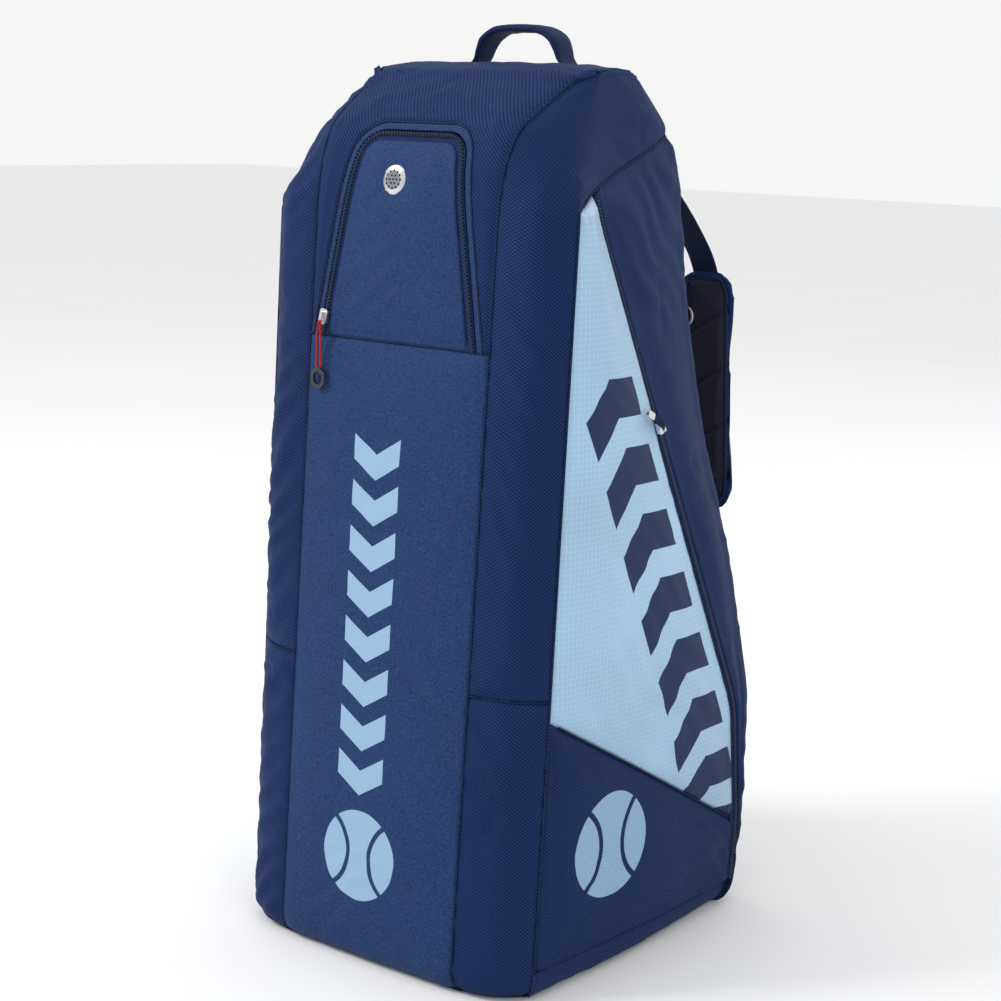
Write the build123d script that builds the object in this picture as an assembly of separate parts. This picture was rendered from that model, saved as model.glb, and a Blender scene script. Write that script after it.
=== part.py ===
from build123d import *
import math
import os

# Racket tournament bag standing on its base, millimetres.
# +Z is up, the long spine panel faces -Y, the shoulder straps are on +Y, and the bag mirrors about X = 0.
# Its skin is a ring of corners that changes with height. Each panel is the stretch of wall between two corners.

# ---------------------------------------------------------------- driving dimensions
SHIFT_Y = -15.7        # moves the whole bag so that the origin is under the middle of its box
WALL = 6.0             # padded wall: cloth, foam and lining
CLOTH = 1.2            # bare cloth, zipper tape and webbing sewn flat
LIFT = 0.3             # air between loose trim and what it lies on
SLIDER_AIR = 0.7       # air between a slider and the coil and tape it runs on
GAP = 0.3              # half the air between pieces that move apart

FLOOR_Z = 25.0         # the walls start here, on the base tray's rim
DOOR_SEAM = ((-142.0, 241.0), (153.0, 76.0))    # (y, z) ends of the slanting seam across a side door
GUSSET_SEAM_Z = 256.0  # cross seam that splits each front gusset
DOOR_TOP_Z = 640.0     # top of the side doors
APEX_Z = 648.0         # start of the sloping shoulders
CROWN_Z = 754.0        # underside of the crown panel
TOP_Z = 760.0          # the crown's flat top

HINGE_X = 158.0        # the side door's hinge seam, at every height
HINGE_Y0 = -150.0      # the same seam's depth at the floor
HINGE_LEAN = 0.042     # and how far it leans back for each millimetre up
FRONT_Y0 = -184.0      # the front's depth at the floor
FRONT_LEAN = 0.056     # and how far it leans back for each millimetre up

TAPE = 12.0            # width of one zipper tape
BAIL_RISE = 4.8        # how far a slider's bail stands above its coil
COIL = 5.6             # width of a closed zipper coil
COIL_RISE = 1.6        # how far the coil stands out from its tape
ZIP_LOW = (178.0, 125.0, 200.0)    # the side zip is straight between these two points
ZIP_HIGH = (150.0, -36.0, 560.0)
SLIDER_Z = 466.0       # where the side slider is parked

POCKET_Z = 533.0       # fold line of the front pocket's flap
POCKET_TOP_Z = 705.0   # top of its zip
POCKET_FOOT = 83.0     # half width of its zip at the fold
POCKET_HEAD = 53.0     # half width of its zip at the top
POCKET_DEPTH = 40.0
EYELET_AT = (-11.0, 665.0)
EYELET_R = 12.0

HANDLE_Y = 11.0        # the top handle stands over this depth
HANDLE_WIDE = 30.0
HANDLE_LEAN = 0.75     # tangent of the angle that the handle's legs leave free each way
STRAP_TOP = (70.0, 68.0, 690.0)    # where each shoulder strap is sewn on
STRAP_FOOT = (100.0, 178.0, 95.0)
PAD_THICK = 14.0
PAD_WIDE = 64.0
RING_Y = 192.3         # the small ring hangs in its loop from this line
RING_TOP_Z = 548.1
RING_R = 9.5

# ---------------------------------------------------------------- the ring of corners
# Each list holds (height, value) pairs, with straight lines between them.
SPINE_X = [(25, 95), (648, 95), (680, 96), (710, 98), (740, 104), (754, 104)]
FRONT_Y = [(25, FRONT_Y0 + FRONT_LEAN * 25), (648, FRONT_Y0 + FRONT_LEAN * 648), (680, -142),
           (710, -128), (740, -80), (754, -52)]
SIDE_X = [(25, HINGE_X), (648, HINGE_X), (680, 140), (710, 128), (740, 120), (754, 115)]
SIDE_Y = [(25, HINGE_Y0 + HINGE_LEAN * 25), (648, HINGE_Y0 + HINGE_LEAN * 648), (680, -100),
          (710, -80), (740, -55), (754, -40)]
ZIP_X = [(25, 172), (90, 177), (200, ZIP_LOW[0]), (560, ZIP_HIGH[0]), (648, 149), (680, 139),
         (710, 130), (740, 122), (754, 116)]
ZIP_Y = [(25, 143), (90, 141), (200, ZIP_LOW[1]), (560, ZIP_HIGH[1]), (648, -80), (680, -60),
         (710, -38), (740, -20), (754, -12)]
CORNER_X = [(25, 160), (90, 165), (200, 166), (330, 152), (450, 138), (560, 130), (648, 128),
            (680, 127), (710, 125), (740, 121), (754, 112)]
CORNER_Y = [(25, 168), (90, 172), (200, 168), (330, 147), (450, 112), (560, 87), (648, 72),
            (680, 67), (710, 52), (740, 24), (754, 14)]
GUSSET_BULGE = (4.0, -5.0)
CORNER_ROUND = 16.0
WALL_Z = [25, 90, 200, 330, 450, 560, 648, 680, 710, 740, 754]

# The ring's corners, counted from the front round the right side. The left side mirrors them.
SPINE, GUSSET, SIDE, TAPE_IN, ZIP, TAPE_OUT, REAR_A, REAR_B, REAR_B_LEFT = range(9)
SPINE_LEFT = 15
SPINE_AGAIN = 16


def along(pairs, z):
    """The value at height z on a list of (height, value) pairs."""
    if z <= pairs[0][0]:
        return float(pairs[0][1])
    for (z0, v0), (z1, v1) in zip(pairs, pairs[1:]):
        if z <= z1:
            return v0 + (v1 - v0) * (z - z0) / (z1 - z0)
    return float(pairs[-1][1])


def unit(a, b):
    """The direction from a to b."""
    d = math.dist(a, b)
    return tuple((q - p) / d for p, q in zip(a, b))


def toward(a, b, distance):
    """The point at that distance from a on the way to b."""
    return tuple(p + distance * u for p, u in zip(a, unit(a, b)))


def ring(z):
    """The skin's corners at height z, anticlockwise from the right edge of the spine."""
    spine = (along(SPINE_X, z), along(FRONT_Y, z))
    side = (along(SIDE_X, z), along(SIDE_Y, z))
    zipper = (along(ZIP_X, z), along(ZIP_Y, z))
    corner = (along(CORNER_X, z), along(CORNER_Y, z))
    # The bulge, the tapes and the round corner shrink over the shoulders, where the ring gets small.
    scale = min(1.0, 0.35 + 0.65 * (CROWN_Z - z) / (CROWN_Z - APEX_Z))
    gusset = ((spine[0] + side[0]) / 2 + GUSSET_BULGE[0] * scale,
              (spine[1] + side[1]) / 2 + GUSSET_BULGE[1] * scale)
    rear_a = (corner[0] + 2 * scale, corner[1] - CORNER_ROUND * scale)
    rear_b = (corner[0] - CORNER_ROUND * scale, corner[1] + 4 * scale)
    right = [spine, gusset, side, toward(zipper, side, TAPE * scale), zipper,
             toward(zipper, rear_a, TAPE * scale), rear_a, rear_b]
    return right + [(-x, y) for x, y in reversed(right)]


def inset(corners, depth):
    """A ring moved inwards by depth, or outwards where depth is negative."""
    moved = []
    for i, here in enumerate(corners):
        u0 = unit(corners[i - 1], here)
        u1 = unit(here, corners[(i + 1) % len(corners)])
        k = depth / (1 + u0[0] * u1[0] + u0[1] * u1[1])
        moved.append((here[0] - k * (u0[1] + u1[1]), here[1] + k * (u0[0] + u1[0])))
    return moved


def stretch(z, depth, start, end):
    """Points along the ring at a depth, from one (corner, shift) to another.

    A shift runs along the ring, and is measured on the skin so that every depth ends on one straight cut.
    """
    skin = ring(z)
    corners = inset(skin, depth)
    n = len(corners)
    (i, shift_i), (j, shift_j) = start, end
    points = [corners[k % n] for k in range(i, j + 1)]
    ahead = unit(skin[i % n], skin[(i + 1) % n])
    behind = unit(skin[(j - 1) % n], skin[j % n])
    points[0] = tuple(p + shift_i * u for p, u in zip(points[0], ahead))
    points[-1] = tuple(p + shift_j * u for p, u in zip(points[-1], behind))
    return points


def polygon(points, z):
    """A closed wire at height z, with the whole bag's shift applied."""
    return Wire.make_polygon([Vector(x, y + SHIFT_Y, z) for x, y in points], close=True)


def heights(z_from, z_to):
    """The heights where the ring changes, between two ends."""
    return [z_from] + [z for z in WALL_Z if z_from < z < z_to] + [z_to]


def band(z_from, z_to, start, end, outer=0.0, inner=WALL):
    """A stretch of wall between two corners of the ring and two depths, as one solid."""
    wires = []
    for z in heights(z_from, z_to):
        loop = stretch(z, outer, start, end) + stretch(z, inner, start, end)[::-1]
        wires.append(polygon(loop, z))
    return Solid.make_loft(wires, ruled=True)


def filled(z_from, z_to, depth):
    """The whole volume inside the ring at a depth."""
    return Solid.make_loft([polygon(inset(ring(z), depth), z) for z in heights(z_from, z_to)], ruled=True)


# ---------------------------------------------------------------- writing and placing
os.makedirs("parts", exist_ok=True)


def write(name, *shapes):
    """One node: a file that holds all the solids of these shapes."""
    solids = [s for shape in shapes for s in shape.solids()]
    export_step(Compound(children=solids) if len(solids) > 1 else solids[0], f"parts/{name}.step")


def mirrored(shape):
    return shape.mirror(Plane.YZ)


def write_pair(name, *shapes):
    """The right-hand piece and its mirror image."""
    write("right_" + name, *shapes)
    write("left_" + name, *[mirrored(s) for s in shapes])


def block(x, y, z):
    """A box between pairs of limits, with the whole bag's shift applied."""
    corner = Location((x[0], y[0] + SHIFT_Y, z[0]))
    return corner * Box(x[1] - x[0], y[1] - y[0], z[1] - z[0], align=(Align.MIN, Align.MIN, Align.MIN))


def ribbon(points, thickness):
    """A face of even thickness along an open line of 2-D points, with mitred corners."""
    left, right = [], []
    for i, here in enumerate(points):
        u1 = unit(here, points[i + 1]) if i + 1 < len(points) else unit(points[i - 1], here)
        u0 = unit(points[i - 1], here) if i else u1
        k = thickness / 2 / (1 + u0[0] * u1[0] + u0[1] * u1[1])
        left.append((here[0] - k * (u0[1] + u1[1]), here[1] + k * (u0[0] + u1[0])))
        right.append((here[0] + k * (u0[1] + u1[1]), here[1] - k * (u0[0] + u1[0])))
    return make_face(Polyline(*left, *reversed(right), close=True))


# ---------------------------------------------------------------- front of the bag
def pocket_outline(grow, foot_z=POCKET_Z):
    """The pocket's zip line moved outwards by grow, as a prism that passes through the front wall."""
    slope = (POCKET_FOOT - POCKET_HEAD) / (POCKET_TOP_Z - POCKET_Z)
    side = grow * math.hypot(1, slope)
    top_z = POCKET_TOP_Z + grow
    foot = POCKET_FOOT + side - slope * (foot_z - POCKET_Z)
    head = POCKET_FOOT + side - slope * (top_z - POCKET_Z)
    face = make_face(Polyline((-foot, foot_z), (foot, foot_z), (head, top_z), (-head, top_z), close=True))
    top_corners = face.vertices().sort_by(Axis.Y)[2:]
    face = fillet(top_corners, radius=20 + grow)
    return Plane((0, 250, 0), x_dir=(1, 0, 0), z_dir=(0, -1, 0)) * extrude(face, amount=600)


def front_wall(outer, inner, z_from=POCKET_Z):
    return band(z_from, CROWN_Z, (SPINE_LEFT, 0), (SPINE_AGAIN, 0), outer, inner)


def front_skin_y(z):
    return along(FRONT_Y, z)


def build_front():
    write("spine_panel", band(FLOOR_Z, POCKET_Z, (SPINE_LEFT, 0), (SPINE_AGAIN, 0)))
    write("front_yoke", front_wall(0, WALL) - pocket_outline(TAPE - 4, POCKET_Z - 1))
    tape_out = front_wall(0, CLOTH) & pocket_outline(TAPE - 4)
    write("pocket_yoke_tape", tape_out - pocket_outline(GAP, POCKET_Z - 1))
    # The flap moves, so it stands clear of the fold line below it.
    fold_z = POCKET_Z + 2 * GAP
    write("pocket_flap", front_wall(0, WALL, fold_z) & pocket_outline(4 - TAPE, fold_z))
    tape_in = front_wall(0, CLOTH, fold_z) & pocket_outline(-GAP, fold_z)
    write("pocket_flap_tape", tape_in - pocket_outline(4 - TAPE, fold_z - 1))
    coil = front_wall(-COIL_RISE, 0, fold_z + 6) & pocket_outline(-GAP, fold_z + 6)
    write("pocket_coil", coil - pocket_outline(-GAP - COIL, fold_z))


def build_pocket_liner():
    """An open box of lining behind the pocket's opening."""
    back = front_skin_y(POCKET_Z) + WALL + POCKET_DEPTH
    outside = filled(POCKET_Z - 4, 716, WALL) & block((-93, 93), (-400, back + 8), (POCKET_Z - 4, 716))
    hollow = (-91.5, 91.5), (-400, back + 6.5), (POCKET_Z - 2.5, 714.5)
    inside = filled(POCKET_Z - 4, 716, WALL - 2) & block(*hollow)
    write("pocket_liner", outside - inside)


def on_front(x, z, lift=0.0):
    """A plane on the flap's skin: its x runs right, its y runs up the front and its z points out."""
    up = (0, FRONT_LEAN, 1)
    out = (0, -1, FRONT_LEAN)
    n = math.hypot(1, FRONT_LEAN)
    y = front_skin_y(z) + SHIFT_Y
    if z > APEX_Z:
        (z0, y0), (z1, y1) = (648.0, front_skin_y(648)), (680.0, -142.0)
        lean = (y1 - y0) / (z1 - z0)
        up, out, n = (0, lean, 1), (0, -1, lean), math.hypot(1, lean)
    origin = Vector(x, y, z) + Vector(*out) * (lift / n)
    return Plane(origin, x_dir=(1, 0, 0), z_dir=out)


def build_eyelet():
    """A domed vent with seven large holes in a ring, riveted through the flap."""
    face = on_front(*EYELET_AT)
    dome = Cylinder(EYELET_R, 1.4, align=(Align.CENTER, Align.CENTER, Align.MIN))
    dome += Pos(0, 0, 1.4) * Cone(EYELET_R - 0.4, EYELET_R - 4.5, 1.8, align=(Align.CENTER, Align.CENTER, Align.MIN))
    for radius, count in ((0.0, 1), (3.6, 6), (7.2, 12)):
        for i in range(count):
            angle = 2 * math.pi * i / count
            dome -= Pos(radius * math.cos(angle), radius * math.sin(angle), 0) * Cylinder(0.9, 20)
    write("vent_eyelet", face * dome)
    back = on_front(*EYELET_AT, lift=-WALL - 1.2)
    write("vent_washer", back * (Cylinder(EYELET_R, 1.0) - Cylinder(EYELET_R - 3, 3)))


# ---------------------------------------------------------------- zipper pieces
def slider_body():
    """A zipper slider along its own x: a plate over the coil, a lip each side of it and a bail on top."""
    plate = Pos(0, 0, COIL_RISE + SLIDER_AIR + 0.7) * Box(13, 8.2, 1.4)
    plate = fillet(plate.edges().filter_by(Axis.Z), radius=2.5)
    lip = Box(10, 0.7, COIL_RISE, align=(Align.CENTER, Align.CENTER, Align.MIN))
    lips = [Pos(0, side * 3.75, SLIDER_AIR) * lip for side in (-1, 1)]
    bail = Pos(0, 0, COIL_RISE + SLIDER_AIR + 1.4) * Box(8, 2.4, 3.4, align=(Align.CENTER, Align.CENTER, Align.MIN))
    bail -= Pos(0, 0, COIL_RISE + SLIDER_AIR + 2.4) * Box(4.4, 4, 1.4, align=(Align.CENTER, Align.CENTER, Align.MIN))
    return plate + lips + bail


def pocket_slider_plane():
    """The pocket slider's place: x runs up the left leg of the zip, z points out of the front."""
    slope = (POCKET_FOOT - POCKET_HEAD) / (POCKET_TOP_Z - POCKET_Z)
    z = 549.0
    x = -(POCKET_FOOT - slope * (z - POCKET_Z)) + GAP + COIL / 2
    n = math.hypot(1, FRONT_LEAN)
    up = Vector(slope, FRONT_LEAN, 1)
    out = Vector(0, -1 / n, FRONT_LEAN / n)
    return Plane((x, front_skin_y(z) + SHIFT_Y, z), x_dir=up, z_dir=out)


def build_pocket_pull():
    """Cord loop and open diamond end that hang from the pocket's slider."""
    place = pocket_slider_plane()
    write("pocket_slider", place * slider_body())
    x, y, z = place.origin
    y -= COIL_RISE + SLIDER_AIR + BAIL_RISE + 1.3
    top, foot, half = z - 6.5, z - 40, 2.2
    loop = Polyline((x - half, top), (x - half, foot), (x + half, foot), (x + half, top), close=True)
    loop = fillet(loop.vertices(), radius=2.1)
    path = Plane((0, y, 0), x_dir=(1, 0, 0), z_dir=(0, -1, 0)) * loop
    ring_start = Plane(path @ 0, z_dir=path % 0)
    cord = sweep(ring_start * Circle(0.9), path=path)
    write("pocket_pull_cord", cord)
    end_z = foot - 10.6
    rim = Polyline((0, 9.5), (7.5, 4), (7.5, -5), (3, -9.5), (-3, -9.5), (-7.5, -5), (-7.5, 4), close=True)
    plate = extrude(make_face(rim), amount=1.5, both=True)
    hole = extrude(make_face(Polyline((0, 5.2), (4.6, 2), (4.6, -3.5), (1.6, -6), (-1.6, -6), (-4.6, -3.5),
                                      (-4.6, 2), close=True)), amount=3, both=True)
    write("pocket_pull_end", Plane((x, y, end_z), x_dir=(1, 0, 0), z_dir=(0, -1, 0)) * (plate - hole))


# ---------------------------------------------------------------- side doors
def side_slider_plane():
    """The right slider's place: x runs up the zip and z points out of the side."""
    t = unit(ZIP_LOW, ZIP_HIGH)
    k = (SLIDER_Z - ZIP_LOW[2]) / (ZIP_HIGH[2] - ZIP_LOW[2])
    here = [a + k * (b - a) for a, b in zip(ZIP_LOW, ZIP_HIGH)]
    side = (along(SIDE_X, SLIDER_Z), along(SIDE_Y, SLIDER_Z))
    across = unit(side, here[:2])
    out = Vector(across[0], across[1], 0).cross(Vector(*t)).normalized()
    centre = Vector(*here) - Vector(across[0], across[1], 0) * (GAP + COIL / 2) + Vector(0, SHIFT_Y, 0)
    return Plane(centre, x_dir=Vector(*t), z_dir=out)


def below_door_seam():
    """Everything under the seam that slants down across the right door."""
    (y0, z0), (y1, z1) = DOOR_SEAM
    slope = (z1 - z0) / (y1 - y0)
    reach = 400
    under = Polyline((-reach, -10), (reach, -10), (reach, z0 + slope * (reach - y0)),
                     (-reach, z0 + slope * (-reach - y0)), close=True)
    plane = Plane((100, SHIFT_Y, 0), x_dir=(0, 1, 0), z_dir=(1, 0, 0))
    return plane * extrude(make_face(under), amount=200)


def build_doors():
    """Each door is padded cloth with a zipper tape down its rear edge and along its foot."""
    edge = (SIDE, 2 * GAP)
    foot_z = FLOOR_Z + TAPE
    panel_z = foot_z + TAPE
    panel = band(panel_z, DOOR_TOP_Z - 1, edge, (TAPE_IN, 0))
    below = below_door_seam()
    write_pair("door_lower", panel & below)
    write_pair("door_upper", panel - below)
    rear = band(foot_z + GAP, DOOR_TOP_Z - 1, (TAPE_IN, 0), (ZIP, -GAP), 0, CLOTH)
    foot = band(foot_z + GAP, panel_z, edge, (TAPE_IN, 0), 0, CLOTH)
    write_pair("door_tape", rear + foot)
    bag_rear = band(foot_z - GAP, DOOR_TOP_Z, (ZIP, GAP), (TAPE_OUT, 0), 0, CLOTH)
    bag_foot = band(FLOOR_Z, foot_z - GAP, (SIDE, 0), (TAPE_OUT, 0), 0, CLOTH)
    write_pair("bag_tape", bag_rear + bag_foot)
    coil_inner_shift = TAPE - GAP - COIL
    rear_coil = band(foot_z + GAP, DOOR_TOP_Z - 8, (TAPE_IN, coil_inner_shift), (ZIP, -GAP), -COIL_RISE, -0.1)
    foot_coil = band(foot_z + GAP, foot_z + GAP + COIL, (SIDE, 8), (TAPE_IN, coil_inner_shift), -COIL_RISE, -0.1)
    write_pair("door_coil", rear_coil + foot_coil)


def build_side_pulls():
    """Slider on each door's coil, with a ribbon and a metal bar that lie forward over the door."""
    place = side_slider_plane()
    write_pair("slider", place * slider_body())
    base = place.origin + place.z_dir * (COIL_RISE + SLIDER_AIR + BAIL_RISE + 0.4)
    tip = Vector(base.X + 0.2, base.Y - 28, base.Z + 15)
    lie = Plane(base, x_dir=tip - base, z_dir=place.z_dir)
    strip = Pos(1.5, 0, 0.9) * Box(20, 7.5, 1.8, align=(Align.MIN, Align.CENTER, Align.CENTER))
    write_pair("pull_ribbon", lie * strip)
    bar = Pos(21.5, 0, 0.9) * Box(10, 6, 2.6, align=(Align.MIN, Align.CENTER, Align.CENTER))
    write_pair("pull_tip", lie * fillet(bar.edges().filter_by(Axis.Z), radius=2))


# ---------------------------------------------------------------- rest of the shell
def build_shell():
    write_pair("gusset_lower", band(FLOOR_Z, GUSSET_SEAM_Z, (SPINE, 0), (SIDE, 0)))
    write_pair("gusset_upper", band(GUSSET_SEAM_Z, CROWN_Z, (SPINE, 0), (SIDE, 0)))
    write_pair("shoulder", band(DOOR_TOP_Z, CROWN_Z, (SIDE, 0), (REAR_B, 0)))
    write_pair("rear_gusset", band(FLOOR_Z, DOOR_TOP_Z, (TAPE_OUT, 0), (REAR_B, 0)))
    write("back_panel", band(FLOOR_Z, CROWN_Z, (REAR_B, 0), (REAR_B_LEFT, 0)))
    crown = [polygon(inset(ring(CROWN_Z), d), z) for d, z in ((0, CROWN_Z), (1, CROWN_Z + 4), (6, TOP_Z))]
    write("crown_panel", Solid.make_loft(crown, ruled=True))
    outside = [polygon(inset(ring(FLOOR_Z), d), z) for d, z in ((20, 0), (7, 8), (0, FLOOR_Z))]
    inside = [polygon(inset(ring(FLOOR_Z), d), z) for d, z in ((20, 7), (10, FLOOR_Z + 1))]
    tray = Solid.make_loft(outside, ruled=True) - Solid.make_loft(inside, ruled=True)
    write("base_tray", tray)


def build_divider():
    """A padded sheet that parts the bag into a left and a right compartment."""
    room = filled(FLOOR_Z + 1, CROWN_Z - 4, WALL + 1)
    sheet = room & block((-3, 3), (-400, 400), (0, 800))
    behind_pocket = front_skin_y(POCKET_Z) + WALL + POCKET_DEPTH + 9
    write("centre_divider", sheet - block((-10, 10), (-400, behind_pocket), (POCKET_Z - 8, 800)))


# ---------------------------------------------------------------- handle and straps
def build_handle():
    """A webbing handle that stands on the crown between two sewn feet.

    Its legs narrow to the fold line, so the rigid arch can lean as the webbing does.
    """
    plane = Plane((0, HANDLE_Y + SHIFT_Y, 0), x_dir=(1, 0, 0), z_dir=(0, -1, 0))
    half = HANDLE_WIDE / 2
    fold_z = TOP_Z + 3.4
    arch = [(-38, fold_z + 0.4), (-33, 775), (-22, 787.5), (-9, 792), (9, 792), (22, 787.5), (33, 775),
            (38, fold_z + 0.4)]
    handle = plane * extrude(ribbon(arch, 6), amount=half, both=True)
    for side in (-1, 1):
        under = Polyline((0, fold_z - 20), (0, fold_z), (side * 40, fold_z + 40 * HANDLE_LEAN), (side * 40, 700),
                         close=True)
        wedge = Plane((0, HANDLE_Y + SHIFT_Y, 0), x_dir=(0, 1, 0), z_dir=(1, 0, 0)) * make_face(under)
        handle -= extrude(wedge, amount=80, both=True)
    write("top_handle", handle)
    foot = Pos(41, HANDLE_Y + SHIFT_Y, TOP_Z + LIFT) * Box(24, HANDLE_WIDE, 2.6,
                                                          align=(Align.CENTER, Align.CENTER, Align.MIN))
    write("handle_feet", foot, mirrored(foot))


def strap_plane():
    """The right strap's own plane: x points away from the back, y runs up the strap, z is across it."""
    up = Vector(*STRAP_TOP) - Vector(*STRAP_FOOT)
    across = Vector(0, 1, 0).cross(up).normalized()
    return Plane(Vector(STRAP_FOOT[0], STRAP_FOOT[1] + SHIFT_Y, STRAP_FOOT[2]), x_dir=up.cross(across), z_dir=across)


def build_straps():
    """Each strap: webbing from the back's top, a padded part, webbing to the back's foot, and trim."""
    plane = strap_plane()

    def at(y, z):
        """A point of the strap's side view, in the strap's own plane."""
        k = (z - STRAP_FOOT[2]) / (STRAP_TOP[2] - STRAP_FOOT[2])
        x = STRAP_FOOT[0] + k * (STRAP_TOP[0] - STRAP_FOOT[0])
        local = plane.to_local_coords(Vector(x, y + SHIFT_Y, z))
        return (local.X, local.Y)

    def strip(points, thickness, width):
        return plane * extrude(ribbon([at(*p) for p in points], thickness), amount=width / 2, both=True)

    pad_line = [(205, 583), (207, 530), (207, 400), (203, 354)]
    pad = strip(pad_line, PAD_THICK, PAD_WIDE)
    corners = [e for e in pad.edges() if abs(e.length - PAD_THICK) < 0.5]
    write_pair("strap_pad", fillet(corners, radius=26))
    inner = PAD_THICK / 2 + 1
    lining_line = [(y - inner, z) for y, z in ((205.6, 568), (207, 530), (207, 400), (204.4, 370))]
    write_pair("strap_lining", strip(lining_line, 1.6, PAD_WIDE - 12))
    top_line = [(82, 688), (100, 681), (150, 642), (190, 603), (203, 584.3)]
    write_pair("strap_top_web", strip(top_line, 2.4, 38))
    adjuster_line = [(203, 353.2), (201, 344)]
    write_pair("strap_adjuster", strip(adjuster_line, 5, 36))
    foot_line = [(200.8, 343.8), (196, 318), (189, 220), (184.8, 108)]
    write_pair("strap_foot_web", strip(foot_line, 2.4, 25))
    write_pair("strap_anchors", *strap_anchors())
    loop = block((58, 66), (187.8, 196.4), (541, 572)) - block((50, 70), (189.6, 194.7), (544, 568))
    write_pair("strap_loop", loop)
    write_pair("strap_ring", Plane((62, RING_Y + SHIFT_Y, RING_TOP_Z - RING_R), z_dir=(0, 1, 0)) * Torus(RING_R, 1.1))
    write_pair("strap_tab", block((50, 54.5), (194.4, 196.2), (560, 578)))


def strap_anchors():
    """Sewn patches on the back panel, each with a narrow neck that leaves the strap free to swing."""
    top = block((51, 89), (62, 70), (683, 697)) + block((65, 75), (62, 79), (685, 695))
    foot = block((86, 114), (170, 180), (86, 102)) + block((96, 104), (170, 186), (88, 104))
    return [patch - filled(FLOOR_Z, CROWN_Z, -LIFT) for patch in (top, foot)]


build_front()
build_pocket_liner()
build_eyelet()
build_pocket_pull()
build_doors()
build_side_pulls()
build_shell()
build_divider()
build_handle()
build_straps()
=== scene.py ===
import math

import bpy
import numpy as np
from mathutils import Matrix, Vector, noise


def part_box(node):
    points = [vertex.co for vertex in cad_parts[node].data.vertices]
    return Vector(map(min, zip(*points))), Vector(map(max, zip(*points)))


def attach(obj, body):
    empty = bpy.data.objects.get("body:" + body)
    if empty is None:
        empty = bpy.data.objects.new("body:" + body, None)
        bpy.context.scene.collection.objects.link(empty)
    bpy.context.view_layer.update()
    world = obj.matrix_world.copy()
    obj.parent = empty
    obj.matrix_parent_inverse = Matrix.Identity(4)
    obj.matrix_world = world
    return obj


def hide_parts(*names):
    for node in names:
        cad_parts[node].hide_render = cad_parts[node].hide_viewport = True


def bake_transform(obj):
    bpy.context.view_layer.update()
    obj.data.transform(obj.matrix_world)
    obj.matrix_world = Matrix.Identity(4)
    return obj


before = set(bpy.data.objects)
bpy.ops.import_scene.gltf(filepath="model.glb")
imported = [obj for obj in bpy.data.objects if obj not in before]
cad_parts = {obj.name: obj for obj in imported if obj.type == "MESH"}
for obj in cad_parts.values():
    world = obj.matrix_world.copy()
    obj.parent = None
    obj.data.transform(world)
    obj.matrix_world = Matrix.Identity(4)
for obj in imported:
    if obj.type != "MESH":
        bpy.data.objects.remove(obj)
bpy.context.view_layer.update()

# Lengths are in millimetres until they reach a mesh, and in metres in materials. Outlines are measured
# from the middle of the bag's body, and SHIFT_Y takes them to the frame.
MM = 0.001
SHIFT_Y = -15.7
GRID = 4.2       # spacing of a panel's mesh
THICK = 4.2                             # padded cloth, outside to lining

# ---------------------------------------------------------------- the bag's outline, by height
SPINE_X = [(0, 95), (648, 95), (680, 96), (710, 98), (740, 104), (754, 109)]
FRONT_Y = [(0, -184), (648, -147.7), (680, -142), (710, -128), (740, -80), (754, -54)]
SIDE_X = [(0, 158), (648, 158), (680, 142), (710, 130), (740, 121), (754, 117)]
SIDE_Y = [(0, -150), (648, -122.8), (680, -100), (710, -80), (740, -55), (754, -42)]
ZIP_X = [(0, 172), (90, 177), (200, 178), (560, 150), (648, 149), (680, 139), (710, 130), (740, 122),
         (754, 118)]
ZIP_Y = [(0, 143), (90, 141), (200, 125), (560, -36), (640, -80), (660, -84), (690, -58), (710, -38),
         (740, -20), (754, -12)]
CORNER_X = [(0, 160), (90, 165), (200, 166), (330, 152), (450, 138), (560, 130), (648, 128),
            (680, 127), (710, 125), (740, 121), (754, 115)]
CORNER_Y = [(0, 168), (90, 172), (200, 168), (330, 147), (450, 112), (560, 87), (648, 72),
            (680, 67), (710, 52), (740, 24), (754, 14)]
# The guides, which are lines up the skin. Some follow a list, some lie beside or between others.
EDGES = {"spine": (SPINE_X, FRONT_Y), "hinge": (SIDE_X, SIDE_Y), "zip": (ZIP_X, ZIP_Y)}
CORNERS = {"corner_a": (3, -22), "corner": (-1.5, -2), "corner_b": (-15, 5)}
MIDDLES = {"gusset": ("spine", "hinge", 5, -6), "rear_mid": ("zip", "corner_a", 2.5, 0)}
FRONT_BULGE = 1.5
DOOR_BULGE = 4.0
BACK_BULGE = 9
CORE = (100.0, 110.0)   # the walls curve under the bag towards this half width and half depth
ROUND_Z = 24.0          # they start to curve under at this height
UNDER = 19.0            # and end this far in
FLOOR_CUT = 1.5         # the walls' lowest line
SHOULDER_Z = 648        # where the walls start to lean in
RIDGE_P = 754           # where the front turns back over the ridge
CROWN_Z = 750.0         # the walls' highest line
APEX_Z = 646.0          # the doors' upper tip
DOOR_LOW = 27.0         # the doors' lower edge
DOOR_SEAM = ((-142.0, 241.0), (153.0, 76.0))    # (y, z) at two places of the doors' slanting seam
GUSSET_SEAM_Z = 256.0
HINGE_ROOM = 0.9        # the door's cloth starts this far from the hinge seam
# The side zip's edges: the guide they lie towards from the zip line, and how far, by height.
ZIP_EDGES = {
    "zip_in": ("hinge", [(0, 9.5), (450, 9.5), (485, 5.6), (760, 5.6)]),
    "coil_in": ("hinge", [(0, 5.3)]),
    "zip_on": ("hinge", [(0, 0.5)]),
    "zip_off": ("corner_a", [(0, 0.5)]),
    "zip_out": ("corner_a", [(0, 6.5), (450, 6.5), (485, 1.6), (760, 1.6)]),
}


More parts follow.
